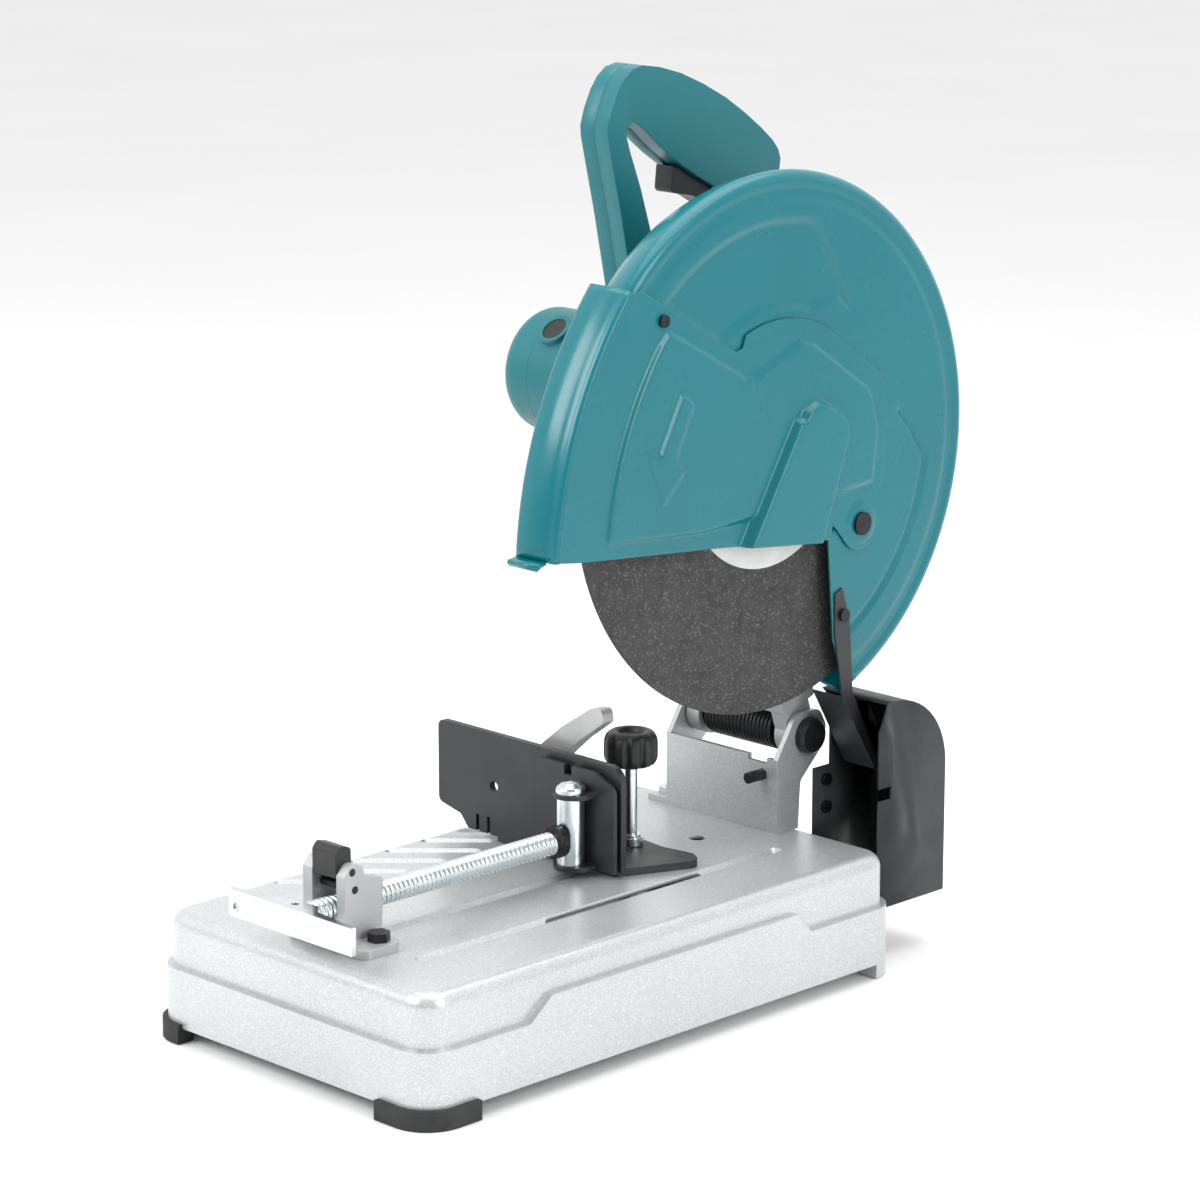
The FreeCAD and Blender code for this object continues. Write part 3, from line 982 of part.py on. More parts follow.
HANDLE_SCREWS = ((-15, 150), (5, 95), (4, 196), (114, 150), (110, 104), (98, 50))


def screw_holes(name, y, z):
    return [cylinder("%s_screw_hole_%d" % (name, i), "x", ("handle_x - handle_half - 1", str(y + dy), str(z + dz)),
                     "handle_half + 9", "2.5") for i, (dy, dz) in enumerate(HANDLE_SCREWS)]


# ---------------------------------------------------------------- build and check
for make in (base_plate, feet, bracket, pivot, spark_box, vise_block, vise, fence, gear_case, motor, spindle,
             wheel_guard, deflector, safety_cover, handle):
    make()
doc.recompute()

faults = [o.Label for o in doc.Objects if "Invalid" in o.State or "Error" in o.State]
for name, solid in NODES.items():
    shape = solid.Shape
    if shape.isNull() or not shape.isValid() or not shape.Solids:
        faults.append("bad shape: " + name)
if faults:
    raise RuntimeError("failed objects: " + ", ".join(faults))

os.makedirs("parts", exist_ok=True)
for name, solid in NODES.items():
    solid.Shape.exportStep(os.path.join("parts", name + ".step"))
low = [min(s.Shape.BoundBox.__getattribute__(k) for s in NODES.values()) for k in ("XMin", "YMin", "ZMin")]
high = [max(s.Shape.BoundBox.__getattribute__(k) for s in NODES.values()) for k in ("XMax", "YMax", "ZMax")]
print("%d nodes, lowest corner %s, highest corner %s" % (len(NODES), low, high))
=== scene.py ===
# %% [markdown]
# # An abrasive chop saw, shown over its CAD frame
# The CAD model gives every size and joint. Here each piece gets its finish, and the pieces whose look
# depends on pressing, winding or thread rolling are modelled again: the wheel guard, its safety cover,
# the vise screw, the return spring and the clamp knob. Lengths below are millimetres, scaled to metres.

# %% The frame
import bpy
import bmesh
import json
import math
import numpy as np
from mathutils import Matrix, Vector


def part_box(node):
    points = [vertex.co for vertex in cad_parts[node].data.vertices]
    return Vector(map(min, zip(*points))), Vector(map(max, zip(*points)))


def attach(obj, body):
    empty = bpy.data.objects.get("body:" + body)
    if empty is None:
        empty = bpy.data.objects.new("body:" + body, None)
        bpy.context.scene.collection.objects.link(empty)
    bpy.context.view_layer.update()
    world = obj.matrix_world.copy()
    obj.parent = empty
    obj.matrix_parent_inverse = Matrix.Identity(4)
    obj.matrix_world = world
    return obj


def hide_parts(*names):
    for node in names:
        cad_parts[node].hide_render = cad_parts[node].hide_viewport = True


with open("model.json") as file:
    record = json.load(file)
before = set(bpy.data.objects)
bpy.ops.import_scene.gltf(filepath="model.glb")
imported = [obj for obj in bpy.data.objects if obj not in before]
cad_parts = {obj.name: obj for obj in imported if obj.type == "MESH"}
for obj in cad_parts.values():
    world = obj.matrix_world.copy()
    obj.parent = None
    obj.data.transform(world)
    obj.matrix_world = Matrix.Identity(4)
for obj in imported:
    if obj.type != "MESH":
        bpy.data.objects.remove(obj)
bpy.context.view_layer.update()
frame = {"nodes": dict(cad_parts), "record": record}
MM = 0.001
WHEEL = (0.093, 0.366)
made = []


# %% [markdown]
# ## Finishes
# Every finish starts from the real material and is built from noise on object coordinates, so it needs
# no pictures. Colours are written as sRGB hex and turned to linear by one function.

# %% Colour and node helpers
def linear(code):
    """sRGB hex to a linear colour."""
    parts = [int(code[i:i + 2], 16) / 255 for i in (1, 3, 5)]
    return [p / 12.92 if p <= 0.04045 else ((p + 0.055) / 1.055) ** 2.4 for p in parts] + [1.0]


def add(tree, kind, inputs=(), **settings):
    """One shader node, its settings, then its inputs: a value is set and a socket is linked."""
    item = tree.nodes.new("ShaderNode" + kind)
    for key, value in settings.items():
        setattr(item, key, value)
    for key, value in dict(inputs).items():
        if isinstance(value, bpy.types.NodeSocket):
            tree.links.new(value, item.inputs[key])
        else:
            item.inputs[key].default_value = value
    return item


def mixed(tree, factor, first, second):
    """Colour between two colours."""
    item = add(tree, "Mix", {0: factor, 6: first, 7: second}, data_type="RGBA")
    return item.outputs[2]


def ranged(tree, value, low, high, to_low=0.0, to_high=1.0):
    return add(tree, "MapRange", {0: value, 1: low, 2: high, 3: to_low, 4: to_high}).outputs[0]


def noise(tree, where, size_mm, detail=3.0, stretch=None):
    """Noise whose grains are about size_mm across."""
    if stretch:
        where = add(tree, "Mapping", {"Vector": where, "Scale": stretch}).outputs[0]
    return add(tree, "TexNoise", {"Vector": where, "Scale": 1000.0 / size_mm, "Detail": detail}).outputs[0]


def finish_of(name, colour, tint, metallic=0.0, rough=(0.3, 0.45), grain_mm=0.8, grain=0.02, blotch_mm=60,
              coat=0.0, edge_mm=0.6, ior=None, wear=None, wear_mm=25, dust_and_painted_sheen=None, stretch=None, speck=None,
              scratch=0.0):
    """A finish: two close colours in blotches, varied roughness, surface grain, softened edges and wear."""
    surface = bpy.data.materials.new(name)
    surface.use_nodes = True
    tree = surface.node_tree
    shader = tree.nodes["Principled BSDF"]
    where = add(tree, "TexCoord").outputs["Object"]
    blotch = ranged(tree, noise(tree, where, blotch_mm), 0.35, 0.65)
    paint = mixed(tree, blotch, linear(colour), linear(tint))
    fine = noise(tree, where, grain_mm, 5.0, stretch)
    if speck:
        cells = add(tree, "TexVoronoi", {"Vector": where, "Scale": 1000.0 / grain_mm}).outputs["Color"]
        bright = ranged(tree, add(tree, "SeparateColor", {0: cells}).outputs[0], speck[1], 1.0)
        paint = mixed(tree, bright, paint, linear(speck[0]))
    rough_value = ranged(tree, noise(tree, where, blotch_mm * 0.3, 4.0), 0.3, 0.7, rough[0], rough[1])
    soft = add(tree, "Bevel", {"Radius": edge_mm * MM}, samples=4).outputs[0]
    if wear:
        flat = add(tree, "NewGeometry").outputs["Normal"]
        facing = add(tree, "VectorMath", {0: soft, 1: flat}, operation="DOT_PRODUCT").outputs["Value"]
        edge = ranged(tree, facing, 0.97, 0.8)
        patch = ranged(tree, noise(tree, where, wear_mm, 6.0), 0.5, 0.66)
        worn = add(tree, "Math", {0: edge, 1: patch}, operation="MULTIPLY").outputs[0]
        paint = mixed(tree, worn, paint, linear(wear))
    # Upward-facing surfaces are mixed toward a second colour in noisy patches. On the teal enamel this is a lighter
    # teal, a painted highlight on the tops. On the silver paint it is a slightly darker, warmer grey, and on the
    # black sheet and rubber it is a dust grey.
    if dust_and_painted_sheen:
        normal = add(tree, "NewGeometry").outputs["Normal"]
        upward = ranged(tree, add(tree, "SeparateXYZ", {0: normal}).outputs[2], 0.6, 1.0)
        dust_and_sheen_mask = add(tree, "Math", {0: upward, 1: ranged(tree, noise(tree, where, 90, 6.0), 0.45, 0.8)},
                   operation="MULTIPLY").outputs[0]
        light = add(tree, "Math", {0: dust_and_sheen_mask, 1: dust_and_painted_sheen[1]}, operation="MULTIPLY").outputs[0]
        paint = mixed(tree, light, paint, linear(dust_and_painted_sheen[0]))
    if scratch:
        line = noise(tree, where, 1.2, 2.0, (1.0, 0.04, 1.0))
        rough_value = add(tree, "Math", {0: rough_value, 1: ranged(tree, line, 0.62, 0.8, 0.0, scratch)},
                          operation="ADD").outputs[0]
    bump = add(tree, "Bump", {"Strength": 0.6, "Distance": grain * MM, "Height": fine, "Normal": soft})
    tree.links.new(paint, shader.inputs["Base Color"])
    tree.links.new(rough_value, shader.inputs["Roughness"])
    tree.links.new(bump.outputs[0], shader.inputs["Normal"])
    shader.inputs["Metallic"].default_value = metallic
    shader.inputs["Coat Weight"].default_value = coat
    shader.inputs["Coat Roughness"].default_value = 0.12
    if ior:
        shader.inputs["IOR"].default_value = ior
    return surface


# %% [markdown]
# Teal enamel is smooth with slight orange peel. The pressed base carries aluminium-coloured powder paint,
# finer and duller. Zinc plate is a bright metal with cloudy patches. Black sheet is a thin satin coat.

# %% The finishes, each named for its real material
FINISH = {
    # The lighter teal mixed onto the enamel's upward faces is a painted highlight on the tops.
    "teal_paint": finish_of("enamel_on_sheet_steel", "#006D77", "#006872",
        rough=(0.22, 0.3), grain_mm=2.2, grain=0.006, blotch_mm=140, coat=0.1, ior=1.45,
        dust_and_painted_sheen=("#2F868D", 0.06)),
    "teal_plastic": finish_of("glass_filled_nylon_teal", "#046C74", "#03676F",
        rough=(0.38, 0.48), grain_mm=0.7, grain=0.02, blotch_mm=80, ior=1.5, edge_mm=1.2),
    "silver_paint": finish_of("aluminium_powder_paint", "#BEC1C2", "#B8BBBC",
        metallic=0.5, rough=(0.3, 0.38), grain_mm=0.6, grain=0.006, blotch_mm=160, edge_mm=1.0,
        speck=("#D6D8D9", 0.6), dust_and_painted_sheen=("#B5B5B2", 0.15), scratch=0.06),
    "zinc_sheet": finish_of("silver_painted_bracket_steel", "#B9BCBD", "#B1B4B5",
        metallic=0.55, rough=(0.32, 0.42), grain_mm=0.7, grain=0.008, blotch_mm=70,
        speck=("#C8CBCC", 0.6)),
    "zinc_steel": finish_of("bright_zinc_plate", "#DCE1E3", "#CDD5D8",
        metallic=1.0, rough=(0.16, 0.26), grain_mm=1.6, grain=0.004, blotch_mm=26, scratch=0.06),
    "zinc_thread": finish_of("bright_zinc_plate_on_thread", "#E2E7E9", "#D3DADD",
        metallic=1.0, rough=(0.2, 0.28), grain_mm=2.0, grain=0.002, blotch_mm=30, edge_mm=0.05),
    "dark_steel": finish_of("black_oxide_steel", "#242527", "#2C2D2F",
        metallic=0.6, rough=(0.3, 0.42), grain_mm=0.6, grain=0.012, blotch_mm=12, wear="#6B6D6F",
        wear_mm=6),
    "black_sheet": finish_of("satin_black_coat_on_sheet_steel", "#222426", "#27292B",
        rough=(0.4, 0.5), grain_mm=0.8, grain=0.015, blotch_mm=70, ior=1.5, wear="#6C6F71", wear_mm=14,
        dust_and_painted_sheen=("#3C3C3B", 0.15)),
    "cast_grey": finish_of("cast_aluminium_blasted", "#BDBDBD", "#B2B3B4",
        metallic=0.6, rough=(0.44, 0.56), grain_mm=0.9, grain=0.05, blotch_mm=30, edge_mm=1.0),
    "black_plastic": finish_of("moulded_nylon_black", "#1B1C1D", "#202122",
        rough=(0.38, 0.52), grain_mm=0.6, grain=0.03, blotch_mm=20, ior=1.5, edge_mm=0.8),
    "black_rubber": finish_of("moulded_rubber", "#202122", "#272828",
        rough=(0.6, 0.75), grain_mm=0.9, grain=0.05, blotch_mm=25, ior=1.52, edge_mm=1.2,
        dust_and_painted_sheen=("#454441", 0.2)),
    "soft_rubber": finish_of("soft_rubber_gland", "#1B1B1C", "#232324",
        rough=(0.6, 0.75), grain_mm=0.7, grain=0.04, blotch_mm=9, ior=1.52),
    "sintered_bush": finish_of("oil_filled_sintered_bronze", "#8D7A52", "#7C6A47",
        metallic=1.0, rough=(0.4, 0.55), grain_mm=0.3, grain=0.03, blotch_mm=6),
    "steel": finish_of("ground_steel", "#A9ABAD", "#9C9FA2",
        metallic=1.0, rough=(0.24, 0.36), grain_mm=0.5, grain=0.01, blotch_mm=12, scratch=0.12),
    "carbon": finish_of("pressed_carbon", "#26272A", "#1E1F21",
        rough=(0.45, 0.6), grain_mm=0.4, grain=0.03, blotch_mm=3, ior=1.6),
    "fan_plastic": finish_of("glass_filled_fan_nylon", "#303234", "#27292B",
        rough=(0.4, 0.55), grain_mm=0.5, grain=0.03, blotch_mm=14, ior=1.5),
    "abrasive": finish_of("bonded_alumina_grit", "#2B2B2B", "#343434",
        rough=(0.7, 0.9), grain_mm=1.3, grain=0.6, blotch_mm=24, ior=1.6, edge_mm=0.3,
        speck=("#5E5F60", 0.8)),
    "label_paper": finish_of("printed_blotter_paper", "#D2D3D1", "#C9CAC8",
        rough=(0.55, 0.7), grain_mm=0.4, grain=0.02, blotch_mm=12, ior=1.45, edge_mm=0.1),
}
SLOT_OF = {part["node"]: part["material_slot"] for part in frame["record"]["subparts"]}
for node, thing in frame["nodes"].items():
    thing.data.materials.clear()
    thing.data.materials.append(FINISH[SLOT_OF[node]])


frame["nodes"]["trunnion_bolt"].data.materials[0] = FINISH["zinc_steel"]


# %% [markdown]
# ## Making new pieces
# A piece is one bmesh, turned into an object at the origin that rides on its CAD body and stands for
# the CAD node it replaces.

# %% Piece and shape helpers
def piece(name, shape, body, stands_for, slot, finish=None):
    """Finish a bmesh as an object that rides on a CAD body."""
    bmesh.ops.remove_doubles(shape, verts=shape.verts, dist=1e-6)
    bmesh.ops.recalc_face_normals(shape, faces=shape.faces)
    mesh = bpy.data.meshes.new(name)
    shape.to_mesh(mesh)
    shape.free()
    for face in mesh.polygons:
        face.use_smooth = True
    thing = bpy.data.objects.new(name, mesh)
    bpy.context.scene.collection.objects.link(thing)
    mesh.materials.append(FINISH[finish or slot])
    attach(thing, body)
    if stands_for:
        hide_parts(*stands_for)
    made.append((name, len(mesh.polygons)))
    return thing


def chain(shape, points):
    """A line of joined points."""
    verts = [shape.verts.new(Vector(p) * MM) for p in points]
    edges = [shape.edges.new(pair) for pair in zip(verts, verts[1:])]
    return verts, edges


def spun(shape, points, centre, axis, degrees, steps):
    """Turn a line of points about an axis; a full turn closes on itself."""
    verts, edges = chain(shape, points)
    bmesh.ops.spin(shape, geom=verts + edges, cent=Vector(centre) * MM, axis=axis, angle=math.radians(degrees),
                   steps=steps, use_merge=abs(degrees) >= 360, use_duplicate=False)


def inside(points, polygon):
    """Which of the points are within the polygon."""
    y, z = points[:, 0], points[:, 1]
    result = np.zeros(len(points), bool)
    for (y0, z0), (y1, z1) in zip(polygon, polygon[1:] + polygon[:1]):
        if z0 == z1:
            continue
        crossing = (z0 > z) != (z1 > z)
        result ^= crossing & (y < (y1 - y0) * (z - z0) / (z1 - z0) + y0)
    return result


def edge_distance(points, polygon, closed=True):
    """How far each point is from the polygon's line, negative inside."""
    best = np.full(len(points), 1e9)
    ends = polygon[1:] + polygon[:1] if closed else polygon[1:]
    for first, second in zip(polygon, ends):
        a, b = np.array(first, float), np.array(second, float)
        run = b - a
        part = np.clip(((points - a) @ run) / (run @ run), 0, 1)
        best = np.minimum(best, np.linalg.norm(points - a - part[:, None] * run, axis=1))
    return np.where(inside(points, polygon), -best, best) if closed else best


def rise(distance, width, height):
    """A smooth step: height inside the line, nothing past width outside it."""
    share = np.clip((width - distance) / (2 * width), 0, 1)
    return height * share * share * (3 - 2 * share)


def press(shape, height, lowest_x):
    """Push the face's vertices out along X by the height at each place."""
    front = [v for v in shape.verts if v.co.x > lowest_x * MM]
    places = np.array([((v.co.y - WHEEL[0]) / MM, (v.co.z - WHEEL[1]) / MM) for v in front])
    for vert, push in zip(front, height(places)):
        vert.co.x += push * MM


def cut_lines(shape, polygon, near=8.0):
    """Split the faces along each side of the polygon."""
    for (y0, z0), (y1, z1) in zip(polygon, polygon[1:] + polygon[:1]):
        low = (min(y0, y1) - near, min(z0, z1) - near)
        high = (max(y0, y1) + near, max(z0, z1) + near)
        chosen = []
        for face in shape.faces:
            centre = face.calc_center_median()
            y, z = (centre.y - WHEEL[0]) / MM, (centre.z - WHEEL[1]) / MM
            if low[0] < y < high[0] and low[1] < z < high[1]:
                chosen.append(face)
        if chosen:
            geom = set(chosen) | {e for f in chosen for e in f.edges} | {v for f in chosen for v in f.verts}
            bmesh.ops.bisect_plane(shape, geom=list(geom), dist=1e-7, plane_no=(0, -(z1 - z0), y1 - y0),
                                   plane_co=(0, WHEEL[0] + y0 * MM, WHEEL[1] + z0 * MM))


def trim(shape, polygon, keep_inside, lowest_x=-1e9):
    """Cut along the polygon and remove the faces on one side of it."""
    cut_lines(shape, polygon)
    faces = [f for f in shape.faces if f.calc_center_median().x > lowest_x * MM]
    centres = [f.calc_center_median() for f in faces]
    places = np.array([((c.y - WHEEL[0]) / MM, (c.z - WHEEL[1]) / MM) for c in centres])
    within = inside(places, polygon)
    gone = [f for f, inner in zip(faces, within) if inner != keep_inside]
    bmesh.ops.delete(shape, geom=gone, context="FACES")


def arc(centre, radius, start, end, count):
    angles = np.radians(np.linspace(start, end, count))
    return [(centre[0] + radius * math.cos(a), centre[1] + radius * math.sin(a)) for a in angles]


# %% [markdown]
# ## The wheel guard
# A deep pressed drum. Its profile is spun round the wheel's axis, then the face is pressed with the
# sunk sector over the wheel and the long sunk bead behind it, and the opening for the wheel is cut away.

# %% Wheel guard
GUARD_R, GUARD_LEFT, GUARD_RIGHT, SHEET = 191.0, 47.0, 81.0, 1.6
SECTOR = (arc((0, 0), 158, 133.5, 78, 20) + [(36, 153)] + arc((0, 0), 116, 52.5, 60, 4)
          + arc((0, 0), 101, 72, 120, 14) + [(-57, 86)])
BEAD = [(122, 14), (132, 4)] + arc((0, 0), 151, -8, -62, 26)


def guard_relief(places):
    radius = np.linalg.norm(places, axis=1)
    height = -rise(edge_distance(places, SECTOR), 1.8, 2.2)
    height -= rise(edge_distance(places, BEAD, closed=False) - 1.6, 1.6, 2.2)
    height += rise(radius - 172.0, 2.6, 1.2) - 1.2
    return np.where(radius < 181, height, 0)


guard = bmesh.new()
face_radii = list(np.arange(26.0, 182.0, 2.0)) + [182.9]
profile = [(GUARD_RIGHT, r) for r in face_radii]
profile += [(GUARD_RIGHT - 8 + 8 * math.cos(turn), GUARD_R - 8 + 8 * math.sin(turn))
            for turn in np.radians([15, 35, 55, 75, 90])]
profile += [(GUARD_LEFT + 12, GUARD_R - 4), (GUARD_LEFT + 3, GUARD_R - 8.6), (GUARD_LEFT, GUARD_R - 12)]
profile += [(GUARD_LEFT, 24.5)]
spun(guard, [(x, 93.0 + r, 366.0) for x, r in profile], (0, 93, 366), (1, 0, 0), 360, 240)
bmesh.ops.remove_doubles(guard, verts=guard.verts, dist=1e-6)
LOW_CUT = [(-320, -320), (-320, -30), (-150, -34), (50, -58), (57, -137), (71, -176), (71, -320)]
WINDOW = [(-320, 122), (-128, 116), (-62, 75), (-42, 64), (10, 80), (62, 55), (88, 38), (97, 12),
          (90, -30), (66, -38), (56, -60), (-320, -60)]
trim(guard, LOW_CUT, False)
trim(guard, WINDOW, False, lowest_x=76.0)
press(guard, guard_relief, 80.5)
bmesh.ops.recalc_face_normals(guard, faces=guard.faces)
bmesh.ops.solidify(guard, geom=guard.faces[:], thickness=SHEET * MM)
piece("guard_drum", guard, "head", ["wheel_guard"], "teal_paint")

# %% [markdown]
# ## The safety cover
# A pressed plate with a front band, hinged at the rear screw. The plate starts as a fine grid, is cut to
# its outline and pressed: the long panel, the arrow, two ovals and the tall boss over the arbor bolt.

# %% Safety cover
PIVOT = (81.0, -58.0)
BAND_R = GUARD_R + math.hypot(*PIVOT) + 0.4
FACE_X = 83.0


def cover_edge(reach):
    top = [(-133, 127.6), (-60, 85.2), (-44, 76.5), (-38, 78)]
    crown = arc((0, 0), 93, 112, 62, 12) + [(58, 73), (72, 63), (90, 51)] + arc((83, 30), 22, 38, 0, 4)
    heel = [(107.8, 15.4), (104, -28)] + arc(PIVOT, 19, 42, -150, 14)
    foot = [(58, -60), (53, -55), (51, -65), (-57.6, -53), (-187.6, -41.7)]
    return arc(PIVOT, reach, 176.2, 140.5, 24) + top + crown + heel + foot


PANEL = [(-108.7, 97.8), (-36, 58), (-28, 58), (18.5, 75), (30, 72), (84, 36), (90, 28), (95.6, 4.6), (91.3, -29.6),
         (40, -34), (-76.8, -39.2)] + arc(PIVOT, 247, 174.2, 143, 14)
ARROW = [(-115.5, -15), (-131.4, 21.1), (-118.4, 18.5), (-98.2, 56.5), (-87, 47.7), (-103.6, 14.4), (-96, 4)]
OVALS = [[(30, 80), (47, 72)], [(91, 44), (95, 26)]]
BOSS = [(-52, -75), (10, 26)] + arc((32, 16), 20, 150, 60, 6) + arc((45, 9), 19, 50, -15, 6) + [(33, -80)]


def cover_relief(places):
    height = rise(edge_distance(places, PANEL), 1.9, 2.4)
    height += rise(edge_distance(places, ARROW), 1.3, 1.5)
    for oval in OVALS:
        height -= rise(edge_distance(places, oval, closed=False) - 3.2, 1.3, 1.6)
    eye = np.linalg.norm(places - np.array(PIVOT), axis=1)
    height += rise(eye - 14, 2.0, 0.9)
    boss = rise(edge_distance(places, BOSS) + 2.2, 2.6, 8.4)
    return np.maximum(boss, height)


cover = bmesh.new()
middle = Matrix.Translation((FACE_X * MM, WHEEL[0] - 0.055, WHEEL[1] + 0.028))
place_grid = middle @ Matrix.Rotation(math.pi / 2, 4, "Y")
bmesh.ops.create_grid(cover, x_segments=170, y_segments=264, size=1.0,
                      matrix=place_grid @ Matrix.Diagonal((0.116, 0.180, 1.0, 1.0)))
outline = cover_edge(BAND_R - 2.2)
trim(cover, outline, True)
press(cover, cover_relief, 80.0)
bmesh.ops.recalc_face_normals(cover, faces=cover.faces)
if sum(f.normal.x for f in cover.faces) < 0:
    bmesh.ops.reverse_faces(cover, faces=cover.faces)
bmesh.ops.solidify(cover, geom=cover.faces[:], thickness=SHEET * MM)
strip = [(FACE_X, BAND_R - 2.6), (FACE_X - 0.3, BAND_R - 0.6), (FACE_X - 1.6, BAND_R + 0.9),
         (FACE_X - 4, BAND_R + 1.4), (FACE_X - 9, BAND_R + 1.2), (FACE_X - 10, BAND_R + 2.2),
         (49, BAND_R + 2.2), (47, BAND_R + 1.4), (47, BAND_R + 0.2), (FACE_X - 4, BAND_R + 0.1),
         (FACE_X - 1.7, BAND_R - 2.6)]
band = bmesh.new()
hinge = (93.0 + PIVOT[0], 366.0 + PIVOT[1])
start = math.radians(140.2)
ring = [(x, hinge[0] + r * math.cos(start), hinge[1] + r * math.sin(start)) for x, r in strip + strip[:1]]
spun(band, ring, (0, *hinge), (1, 0, 0), 36.1, 40)
bmesh.ops.remove_doubles(band, verts=band.verts, dist=1e-6)
bmesh.ops.holes_fill(band, edges=[e for e in band.edges if e.is_boundary], sides=0)
band_mesh = bpy.data.meshes.new("band")
band.to_mesh(band_mesh)
band.free()
cover.from_mesh(band_mesh)
bpy.data.meshes.remove(band_mesh)
piece("cover_pressing", cover, "cover", ["safety_cover"], "teal_paint")

# The hook: the band's lower end is rolled over into a small catch.
hook = bmesh.new()
hook_line = [(0, 0), (-4, -0.8), (-8, -3.2), (-9.6, -1.2), (-9, 1), (-5, 1.4), (0, 2.2), (0, 0)]
chain(hook, [(49, 93 - 210.8 + y, 366 - 40.5 + z) for y, z in hook_line])
bmesh.ops.remove_doubles(hook, verts=hook.verts, dist=1e-6)
bmesh.ops.contextual_create(hook, geom=hook.edges[:])
swept = bmesh.ops.extrude_face_region(hook, geom=hook.faces[:])
moved = [g for g in swept["geom"] if isinstance(g, bmesh.types.BMVert)]
bmesh.ops.translate(hook, vec=(0.026, 0, 0), verts=moved)
piece("cover_hook", hook, "cover", [], "teal_paint")

# %% [markdown]
# ## The vise screw
# A rolled trapezoidal thread: a ring is extruded along the screw, and each ring's points stand out by the
# thread's height where the helix passes them.

# %% Vise screw
SCREW = {"radius": 8.0, "depth": 1.5, "pitch": 4.0, "x": 9.5, "z": 112.0, "from": -282.0, "to": -48.6}


def thread_radius(along, angle):
    turn = (along / SCREW["pitch"] + angle / (2 * math.pi)) % 1.0
    flank = min(max((abs(turn - 0.5) - 0.14) / 0.16, 0.0), 1.0)
    return SCREW["radius"] - SCREW["depth"] * flank


screw = bmesh.new()
ring = bmesh.ops.create_circle(screw, segments=36, radius=0.006, cap_ends=False)["verts"]
rows = int((SCREW["to"] - SCREW["from"]) / 0.5)
bmesh.ops.rotate(screw, cent=(0, 0, 0), matrix=Matrix.Rotation(-math.pi / 2, 3, "X"), verts=ring)
bmesh.ops.translate(screw, vec=(SCREW["x"] * MM, SCREW["from"] * MM, SCREW["z"] * MM), verts=ring)
edges = screw.edges[:]
bmesh.ops.contextual_create(screw, geom=edges)
for row in range(rows):
    swept = bmesh.ops.extrude_edge_only(screw, edges=edges)["geom"]
    moved = [g for g in swept if isinstance(g, bmesh.types.BMVert)]
    edges = [g for g in swept if isinstance(g, bmesh.types.BMEdge)]
    bmesh.ops.translate(screw, vec=(0, 0.0005, 0), verts=moved)
journal = bmesh.ops.extrude_edge_only(screw, edges=edges)["geom"]
moved = [g for g in journal if isinstance(g, bmesh.types.BMVert)]
bmesh.ops.translate(screw, vec=(0, 0.0155, 0), verts=moved)
bmesh.ops.contextual_create(screw, geom=[g for g in journal if isinstance(g, bmesh.types.BMEdge)])
for vert in screw.verts:
    along = vert.co.y / MM - SCREW["from"]
    side, up = vert.co.x / MM - SCREW["x"], vert.co.z / MM - SCREW["z"]
    radius = 6.0
    if 10.0 < along < rows * 0.5 - 1.0:
        radius = thread_radius(along, math.atan2(up, side))
    elif 1.0 < along <= 10.0:
        radius = 7.4
    vert.co.x = (SCREW["x"] + side * radius / 6.0) * MM
    vert.co.z = (SCREW["z"] + up * radius / 6.0) * MM
piece("rolled_vise_screw", screw, "vise_turning", ["vise_screw"], "zinc_steel", "zinc_thread")

# %% [markdown]
# ## The return spring
# A torsion spring wound from round wire: a small ring of points is spun as a screw round the pivot, and
# its two open ends are capped.

# %% Return spring
WIRE, COIL_R, TURNS = 3.3, 13.4, 18
PIVOT_Y, PIVOT_Z = 0.165, 0.152
spring = bmesh.new()
low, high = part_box("return_spring")
ring = bmesh.ops.create_circle(spring, segments=10, radius=WIRE / 2 * MM, cap_ends=False)["verts"]
bmesh.ops.rotate(spring, cent=(0, 0, 0), matrix=Matrix.Rotation(math.pi / 2, 3, "Y"), verts=ring)
bmesh.ops.rotate(spring, cent=(0, 0, 0), matrix=Matrix.Rotation(math.pi / 2, 3, "Z"), verts=ring)
start_x = low.x + WIRE / 2 * MM
bmesh.ops.translate(spring, vec=(start_x, PIVOT_Y, PIVOT_Z + COIL_R * MM), verts=ring)
step_x = (high.x - low.x - WIRE * MM) / (TURNS * 24)
edges = spring.edges[:]
bmesh.ops.spin(spring, geom=ring + edges, cent=(0, PIVOT_Y, PIVOT_Z), axis=(1, 0, 0), dvec=(step_x, 0, 0),
               angle=2 * math.pi * TURNS, steps=TURNS * 24, use_duplicate=False)
bmesh.ops.holes_fill(spring, edges=[e for e in spring.edges if e.is_boundary], sides=0)
piece("wound_spring", spring, "frame", ["return_spring"], "dark_steel")

# %% [markdown]
# ## The clamp knob
# A moulded knob with ten soft lobes and a dished top. A profile is spun, then drawn in between the lobes.

